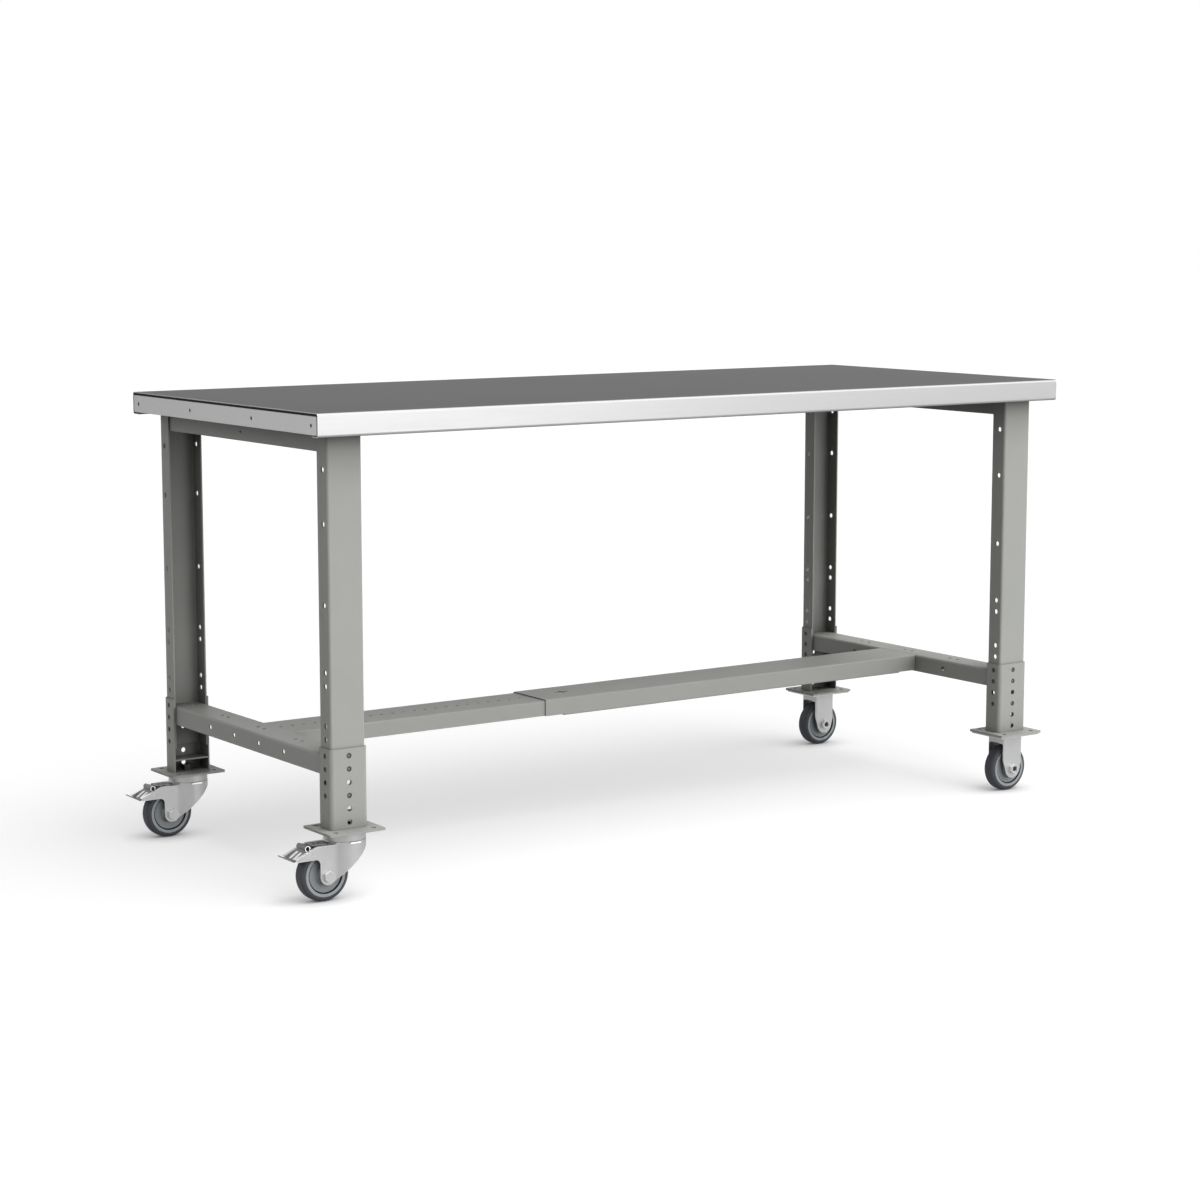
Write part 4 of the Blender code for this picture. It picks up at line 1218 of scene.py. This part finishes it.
seat = FORK_WIDTH / 2 + SEAM
end = seat + AXLE_HEAD
thread = end - NUT_RECESS
axle = hexagon("axle", "Y", -seat, -end)
nut = hexagon("nut", "Y", seat, end)
depth = 2 * RECESS_DEEPER * NUT_RECESS
recess = rod("recess", AXLE_RADIUS + THREAD_GAP, "Y", (0, end, 0), depth, PIN_SIDES)
combine(nut, recess, "DIFFERENCE")
shank = chamfered_rod("shank", AXLE_RADIUS, "Y", -seat - SHANK_ROOT, thread, THREAD_CHAMFER)
combine(axle, shank, "UNION")
combine(axle, nut, "UNION")
combine(axle, rod("hollow", THREAD_END, "Y", (0, thread, 0), 2 * THREAD_HOLLOW), "DIFFERENCE")


def hollow_end(face):
    """True inside the thread's hollow end, which is painted dark as shade."""
    deep = face.calc_center_median().y > thread - 2 * THREAD_HOLLOW
    return deep and out_from_axle(face) < THREAD_END + SEAM


def highlight_flat(face):
    """True on the sides of the head and the nut, which are painted bright as a highlight."""
    return abs(face.normal.y) < SIDEWAYS and out_from_axle(face) > AXLE_RADIUS + THREAD_GAP + SEAM


# The thread's hollow end gets painted shade, and the flats a painted highlight.
paint_faces(axle, ZINC, DARK_STEEL, hollow_end)
paint_faces(axle, None, HIGHLIGHT_ZINC, highlight_flat)
soften(axle, FINE_EDGE)
spread(axle, "axle", None, WHEEL, ORIGIN, RIGHT)
print("axles ready")

# %% Kingpins
KINGPIN_RADIUS = 0.006
KINGPIN_HEAD = 0.0075
KINGPIN_NUT = 0.010
KINGPIN_TAIL = 0.0027
KINGPIN_CHAMFER = 0.0008


def on_floor(place):
    """The point straight below, at the height of the floor."""
    return Vector((place.x, place.y, 0))


SWIVEL = {corner: on_floor(FOOT[corner]) for corner in LEFT}
crown_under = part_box("kingpin_front_left")[0].z + KINGPIN_HEAD
nut_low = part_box("kingpin_front_left")[1].z - KINGPIN_TAIL - KINGPIN_NUT
kingpin = hexagon("kingpin", "Z", crown_under, crown_under - KINGPIN_HEAD)
top = nut_low + KINGPIN_NUT + KINGPIN_TAIL
shank = chamfered_rod("shank", KINGPIN_RADIUS, "Z", crown_under - SHANK_ROOT, top, KINGPIN_CHAMFER)
combine(kingpin, shank, "UNION")
combine(kingpin, hexagon("nut", "Z", nut_low, nut_low + KINGPIN_NUT), "UNION")
soften(kingpin, FINE_EDGE)
spread(kingpin, "kingpin", DARK_STEEL, SWIVEL, ORIGIN)
print("kingpins ready")

# %% [markdown]
# ## The swivel casters
# The fork's head turns under a round race on the base plate. Its legs lean back to the axle and run forward
# to a nose on both sides of the brake pedal. The plan and the side view are intersected, the outer edges of
# the press are rounded, and the inside and the mouth at the front are taken away. Folding a flat blank would
# be nearer to the press shop, but two outlines give the same walls in fewer steps.

# %% Outlines of the swivel fork
FORK_SHEET = 0.003
FORK_INNER = FORK_WIDTH / 2 - FORK_SHEET
TRAIL = 0.049
HEAD_RADIUS = 0.040
HEAD_SKIRT = 0.0057
NECK_RADIUS = 0.020
NECK_RUN = 0.003
LEG_STEP = 0.0039
LOBE_RADIUS = 0.0165
THROAT_RADIUS = 0.010
SHOULDER_REACH = 0.0707
NOSE_REACH = 0.117
NOSE_RISE = 0.0340
NOSE_HEIGHT = 0.0053
NOSE_RAKE = 0.003
LIP_WIDTH = 0.004
BRIDGE_REACH = 0.058
HEAD_STEPS = 60
LOBE_STEPS = 24

AXLE_Z = WHEEL_RADIUS
crown_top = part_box("swivel_fork_front_left")[1].z
leg_top = crown_top - LEG_STEP


def fork_plan(head, half, neck, reach):
    """Outline from above: a round head with two straight legs that reach towards -X."""
    back = math.sqrt((head + neck) ** 2 - (half + neck) ** 2)
    touch = math.degrees(math.atan2(half + neck, -back))
    lower = arc((-back, -half - neck), neck, 90, 180 - touch)
    round_head = arc((0, 0), head, -touch, touch, HEAD_STEPS)
    outline = [(-reach, -half)] + lower + round_head[1:-1]
    return outline + [(a, -b) for a, b in lower[::-1]] + [(-reach, half)]


def fork_top(drop):
    """Points along the fork's top, from behind its head to past its nose."""
    slope = (leg_top - AXLE_Z - NOSE_RISE - NOSE_HEIGHT) / (NOSE_REACH - SHOULDER_REACH)
    neck = math.sqrt(HEAD_RADIUS**2 - (FORK_WIDTH / 2) ** 2)
    return [
        (HEAD_RADIUS + CLEAR, crown_top - drop),
        (-neck, crown_top - drop),
        (-neck - NECK_RUN, leg_top - drop),
        (-SHOULDER_REACH, leg_top - drop),
        (-NOSE_REACH - CLEAR, leg_top - drop - slope * (NOSE_REACH + CLEAR - SHOULDER_REACH)),
    ]


def fork_side():
    """Outline from the side: crown, sloping top, nose, throat over the wheel and round lobe at the axle."""
    hub = (-TRAIL, AXLE_Z)
    skirt = (HEAD_RADIUS, crown_top - HEAD_SKIRT)
    end = tangent_angle(hub, LOBE_RADIUS, skirt, -1) + 360
    nose = AXLE_Z + NOSE_RISE
    points = [(HEAD_RADIUS, crown_top)] + fork_top(0)[1:4]
    points += [(-NOSE_REACH, nose + NOSE_HEIGHT), (-NOSE_REACH + NOSE_RAKE, nose)]
    throat = (-TRAIL - LOBE_RADIUS - THROAT_RADIUS, nose - THROAT_RADIUS)
    points += arc(throat, THROAT_RADIUS, 90, 0)
    return points + arc(hub, LOBE_RADIUS, 180, end, LOBE_STEPS) + [skirt]


print("fork outlines ready, crown at", round(crown_top, 4), "m")

# %% Swivel forks
LUG_WIDTH = 0.022
LUG_HEIGHT = 0.003
LUG_PROUD = 0.0018
PRESS_ROUND = 0.0010
PRESS_STEPS = 4
UPRIGHT_LOOK = 0.6
LIP_LOOK = 0.5
PIN_REACH = 0.086
PIN_RISE = 0.0435
PIN_RADIUS = 0.003
KINGPIN_BORE = 0.0128


def pressed_edge(edge):
    """True at the outer edges of a press: one face looks up and the other sideways."""
    lifts = [face.normal.z for face in edge.link_faces]
    return len(lifts) == 2 and min(abs(lift) for lift in lifts) < SIDEWAYS and max(lifts) > UPRIGHT_LOOK


reach = NOSE_REACH + CLEAR
width = HEAD_RADIUS + CLEAR
fork = outlined("fork", fork_plan(HEAD_RADIUS, FORK_WIDTH / 2, NECK_RADIUS, reach), "Z", 0, crown_top + CLEAR)
combine(fork, outlined("side", fork_side(), "Y", -width, width), "INTERSECT")
round_edges(fork, pressed_edge, PRESS_ROUND, PRESS_STEPS, clamp=True)
inner = fork_plan(HEAD_RADIUS - FORK_SHEET, FORK_INNER, NECK_RADIUS + FORK_SHEET, reach + CLEAR / 2)
hollow = outlined("hollow", inner, "Z", -CLEAR, crown_top + CLEAR)
under = fork_top(FORK_SHEET)
under += [(under[-1][0], -2 * CLEAR), (under[0][0], -2 * CLEAR)]
combine(hollow, outlined("under", under, "Y", -width, width), "INTERSECT")
combine(fork, hollow, "DIFFERENCE")
opening = FORK_INNER - LIP_WIDTH
mouth = block("mouth", (-reach - CLEAR, -opening, AXLE_Z), (-BRIDGE_REACH, opening, crown_top + CLEAR))
combine(fork, mouth, "DIFFERENCE")
lug_low = (-LUG_WIDTH / 2, -HEAD_RADIUS - LUG_PROUD, crown_top - LUG_HEIGHT)
combine(fork, block("lug", lug_low, (LUG_WIDTH / 2, -HEAD_RADIUS + FORK_SHEET, crown_top)), "UNION")
drill(fork, 2 * (AXLE_RADIUS + SEAM), "Y", [(-TRAIL, 0, AXLE_Z)], 2 * width)
drill(fork, 2 * (PIN_RADIUS + SEAM), "Y", [(-PIN_REACH, 0, AXLE_Z + PIN_RISE)], 2 * width)
drill(fork, KINGPIN_BORE, "Z", [(0, 0, crown_top)], CLEAR)


def highlight_face(face):
    """True on the lips along the legs and on the lug, which are painted bright as a highlight."""
    centre = face.calc_center_median()
    on_leg = centre.x < -HEAD_RADIUS / 2 and centre.z > AXLE_Z + NOSE_RISE
    return on_leg and face.normal.z > LIP_LOOK or centre.y < -HEAD_RADIUS - EDGE


# Lips and lug get a painted highlight.
paint_faces(fork, ZINC, HIGHLIGHT_ZINC, highlight_face)
soften(fork)
spread(fork, "swivel_fork", None, SWIVEL, ORIGIN)
print("swivel forks ready")

# %% Races
RACE_GAP = 0.0005
RACE_EDGE = 0.0003

low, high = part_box("race_cap_front_left")
outer, inner = HEAD_RADIUS - RACE_GAP, KINGPIN_RADIUS + SEAM
profile = [(outer, high.z)] + arc((outer - RACE_EDGE, low.z + RACE_EDGE), RACE_EDGE, 0, -90)
race = turned("race", profile + [(inner, low.z), (inner, high.z)], "Z")
soften(race)
spread(race, "race_cap", DULL_ZINC, SWIVEL, ORIGIN)
print("races ready")

# %% [markdown]
# ## The brake
# The pedal is a bent strip: a short back, a rolled knee, a tread with two pads and a tip turned up for the
# toe. The floors of the pads and the ends of the roll are painted bright as a highlight. The strip is one
# face, extruded from mark to mark, and its bends are bevelled before it gets its thickness. Two cheeks hold
# it on the pin, and a tube makes the roll. The spring leaf lies behind it on the fork's bridge. Joined
# blocks would need a cut at each bend, while a strip keeps one thickness.

# %% Tool for bent strips
def near(edge, place):
    """True if the edge lies across the strip at this place."""
    there = middle(edge)
    return abs(there.x - place[0]) + abs(there.z - place[1]) < TOUCH and along(edge, "Y")


def strip(name, path, half):
    """One face after another along a path of (x, z) marks, as wide as given on both sides of y = 0."""
    first, second = path[:2]
    corners = [(first, -half), (first, half), (second, half), (second, -half)]
    made = through(name, [(mark[0], y, mark[1]) for mark, y in corners], "NGON")
    edit(made)
    for mark, following in zip(path[1:], path[2:]):
        pick(made, "EDGE", lambda e: near(e, mark))
        move = (following[0] - mark[0], 0, following[1] - mark[1])
        bpy.ops.mesh.extrude_region_move(TRANSFORM_OT_translate={"value": move})
    bpy.ops.mesh.select_all(action="SELECT")
    bpy.ops.mesh.normals_make_consistent(inside=False)
    leave()
    return made


print("strip tool ready")

# %% Pedal's strip, cheeks and roll
PEDAL_SHEET = 0.0022
PEDAL_BEND = 0.003
PEDAL_SIDE_GAP = 0.0015
PEDAL_HUB = 0.0045
PEDAL_MARKS = ((0.0805, 0.0585), (0.0895, 0.0575), (0.0925, 0.0503), (0.1155, 0.0347), (0.131, 0.0430))
ROLL_PLACE = (-0.0015, 0.0115)
ROLL_RADIUS = 0.0053
ROLL_BORE = 0.0080
PEDAL_STEPS = 5
CHEEK_FROM = -150
CHEEK_TO = 30
CHEEK_STEPS = 16

half = FORK_INNER - LIP_WIDTH - PEDAL_SIDE_GAP
path = [(PIN_REACH - out, rise - PIN_RISE) for out, rise in PEDAL_MARKS]
pedal = strip("pedal", path, half)
edit(pedal)
if pedal.data.polygons[0].normal.z < 0:
    bpy.ops.mesh.flip_normals()
leave()
round_edges(pedal, lambda e: along(e, "Y") and not e.is_boundary, PEDAL_BEND / 2, PEDAL_STEPS)
apply(pedal, "SOLIDIFY", thickness=PEDAL_SHEET, offset=-1, use_even_offset=True)
inset = PEDAL_SHEET / 2
cheek = arc((0, 0), PEDAL_HUB, CHEEK_FROM, CHEEK_TO, CHEEK_STEPS) + [(x, z - inset) for x, z in path[:2]]
cheek += [(x + inset, z - inset) for x, z in path[2:4]]
for low in (-half, half - PEDAL_SHEET):
    combine(pedal, outlined("cheek", cheek, "Y", low, low + PEDAL_SHEET), "UNION")
roll = Vector((ROLL_PLACE[0], 0, ROLL_PLACE[1]))
combine(pedal, rod("roll", ROLL_RADIUS, "Y", roll, 2 * half, PIN_SIDES), "UNION")
drill(pedal, ROLL_BORE, "Y", [roll], 4 * half)
print("pedal strip with", len(path), "marks")

# %% Pedal's pads and bright parts
PAD = (0.021, 0.0092, 0.01)
PAD_PITCH = 0.0142
PAD_DEPTH = 0.0010
PAD_CORNER = 0.0025

top, foot = (Vector((x, 0, z)) for x, z in path[2:4])
slope = math.atan2(top.z - foot.z, top.x - foot.x)
upwards = Vector((-math.sin(slope), 0, math.cos(slope)))
for y in row(2, PAD_PITCH):
    pad = round_block("pad", -Vector(PAD) / 2, Vector(PAD) / 2, PAD_CORNER, PEDAL_STEPS)
    pad.rotation_euler.y = -slope
    pad.location = (top + foot) / 2 + Vector((0, y, 0)) + upwards * (PAD[2] / 2 - PAD_DEPTH)
    only(pad)
    bpy.ops.object.transform_apply(location=True, rotation=True, scale=True)
    combine(pedal, pad, "DIFFERENCE")
drill(pedal, 2 * (PIN_RADIUS + SEAM), "Y", [(0, 0, 0)], 4 * half)


def from_roll(face):
    """Distance from the roll's line to the middle of a face."""
    gap = face.calc_center_median() - roll
    return math.hypot(gap.x, gap.z)


def bright_part(face):
    """True on the floors of the pads and on the roll's two ends, which are painted bright as a highlight."""
    depth = (face.calc_center_median() - foot).dot(upwards)
    on_pad = face.normal.dot(upwards) > FACING and abs(depth + PAD_DEPTH) < PAD_DEPTH / 4
    return on_pad or abs(face.normal.y) > FACING and from_roll(face) < ROLL_RADIUS


# Pad floors and roll ends get a painted highlight.
paint_faces(pedal, WORN_STEEL, HIGHLIGHT_ZINC, bright_part)
soften(pedal, FINE_EDGE)
PIN = {corner: middle_of("brake_pin_" + corner) for corner in LEFT}
spread(pedal, "brake_pedal", None, PIN, ORIGIN)
print("pedals ready")

# %% Brake pins and spring leaves
PIN_EDGE = 0.0005
LEAF_CORNER = 0.005
LEAF_STEPS = 6
LEAF_BORE = 0.009

pin = rod("pin", PIN_RADIUS, "Y", ORIGIN, FORK_WIDTH, PIN_SIDES)
soften(pin, PIN_EDGE)
spread(pin, "brake_pin", ZINC, PIN, ORIGIN)

low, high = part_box("brake_leaf_front_left")
leaf = round_block("leaf", low, high, LEAF_CORNER, LEAF_STEPS)
centre = (low + high) / 2
third = Vector(((high.x - low.x) / 3, 0, 0))
drill(leaf, LEAF_BORE, "Z", [centre - third / 2, centre + third / 2], CLEAR)
soften(leaf, FINE_EDGE)
LEAF = {corner: middle_of("brake_leaf_" + corner) for corner in LEFT}
spread(leaf, "brake_leaf", WORN_STEEL, LEAF, LEAF["front_left"])
print("pins and leaves ready")

# %% [markdown]
# ## The fixed casters
# Their forks don't turn: a box-like crown under its own plate, short walls at both ends with a flat arch,
# and two legs that taper to round lobes. A block is cut to the side view, hollowed and opened by the arch, as
# the swivel fork was, because both are pressed from the same plate.

# %% Fixed forks
RIGID_LENGTH = 0.055
RIGID_CORNER = 0.005
RIGID_LOBE = 0.0208
RIGID_TAPER_RISE = 0.0212
RIGID_END_WALL = 0.016
RIGID_ARCH = 0.003
RIGID_LOBE_STEPS = 28
ARCH_STEPS = 16

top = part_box("rigid_fork_front_right")[1].z
x, y = RIGID_LENGTH / 2, FORK_WIDTH / 2
fork = round_block("fork", (-x, -y, 0), (x, y, top), RIGID_CORNER, BEND_STEPS)
shoulder = (x, AXLE_Z + RIGID_TAPER_RISE)
end = tangent_angle((0, AXLE_Z), RIGID_LOBE, shoulder, -1)
side = [(x + CLEAR, top + CLEAR), (x + CLEAR, shoulder[1]), shoulder]
side += arc((0, AXLE_Z), RIGID_LOBE, end, -180 - end, RIGID_LOBE_STEPS)
side += [(-x, shoulder[1]), (-x - CLEAR, shoulder[1]), (-x - CLEAR, top + CLEAR)]
combine(fork, outlined("side", side, "Y", -y - CLEAR, y + CLEAR), "INTERSECT")
round_edges(fork, pressed_edge, PRESS_ROUND, PRESS_STEPS, clamp=True)
inner = x - FORK_SHEET
hollow_low, hollow_high = (-inner, -FORK_INNER, -CLEAR), (inner, FORK_INNER, top - FORK_SHEET)
hollow = round_block("hollow", hollow_low, hollow_high, RIGID_CORNER - FORK_SHEET, BEND_STEPS)
combine(fork, hollow, "DIFFERENCE")
spring = top - RIGID_END_WALL - RIGID_ARCH
radius = (FORK_INNER**2 + RIGID_ARCH**2) / 2 / RIGID_ARCH
half_angle = math.degrees(math.asin(FORK_INNER / radius))
arch = arc((0, spring + RIGID_ARCH - radius), radius, 90 - half_angle, 90 + half_angle, ARCH_STEPS)
arch += [(-FORK_INNER, -CLEAR), (FORK_INNER, -CLEAR)]
combine(fork, outlined("doorway", arch, "X", -x - CLEAR, x + CLEAR), "DIFFERENCE")
drill(fork, 2 * (AXLE_RADIUS + SEAM), "Y", [(0, 0, AXLE_Z)], FORK_WIDTH + CLEAR)
soften(fork)
FIXED = {corner: on_floor(FOOT[corner]) for corner in RIGHT}
spread(fork, "rigid_fork", ZINC, FIXED, ORIGIN)
print("fixed forks ready")

# %% [markdown]
# ## The end
# The size of the finished bench is printed.

# %% Write the sizes and finish
low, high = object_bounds()
print("size", [round(side, 4) for side in high - low], "m")
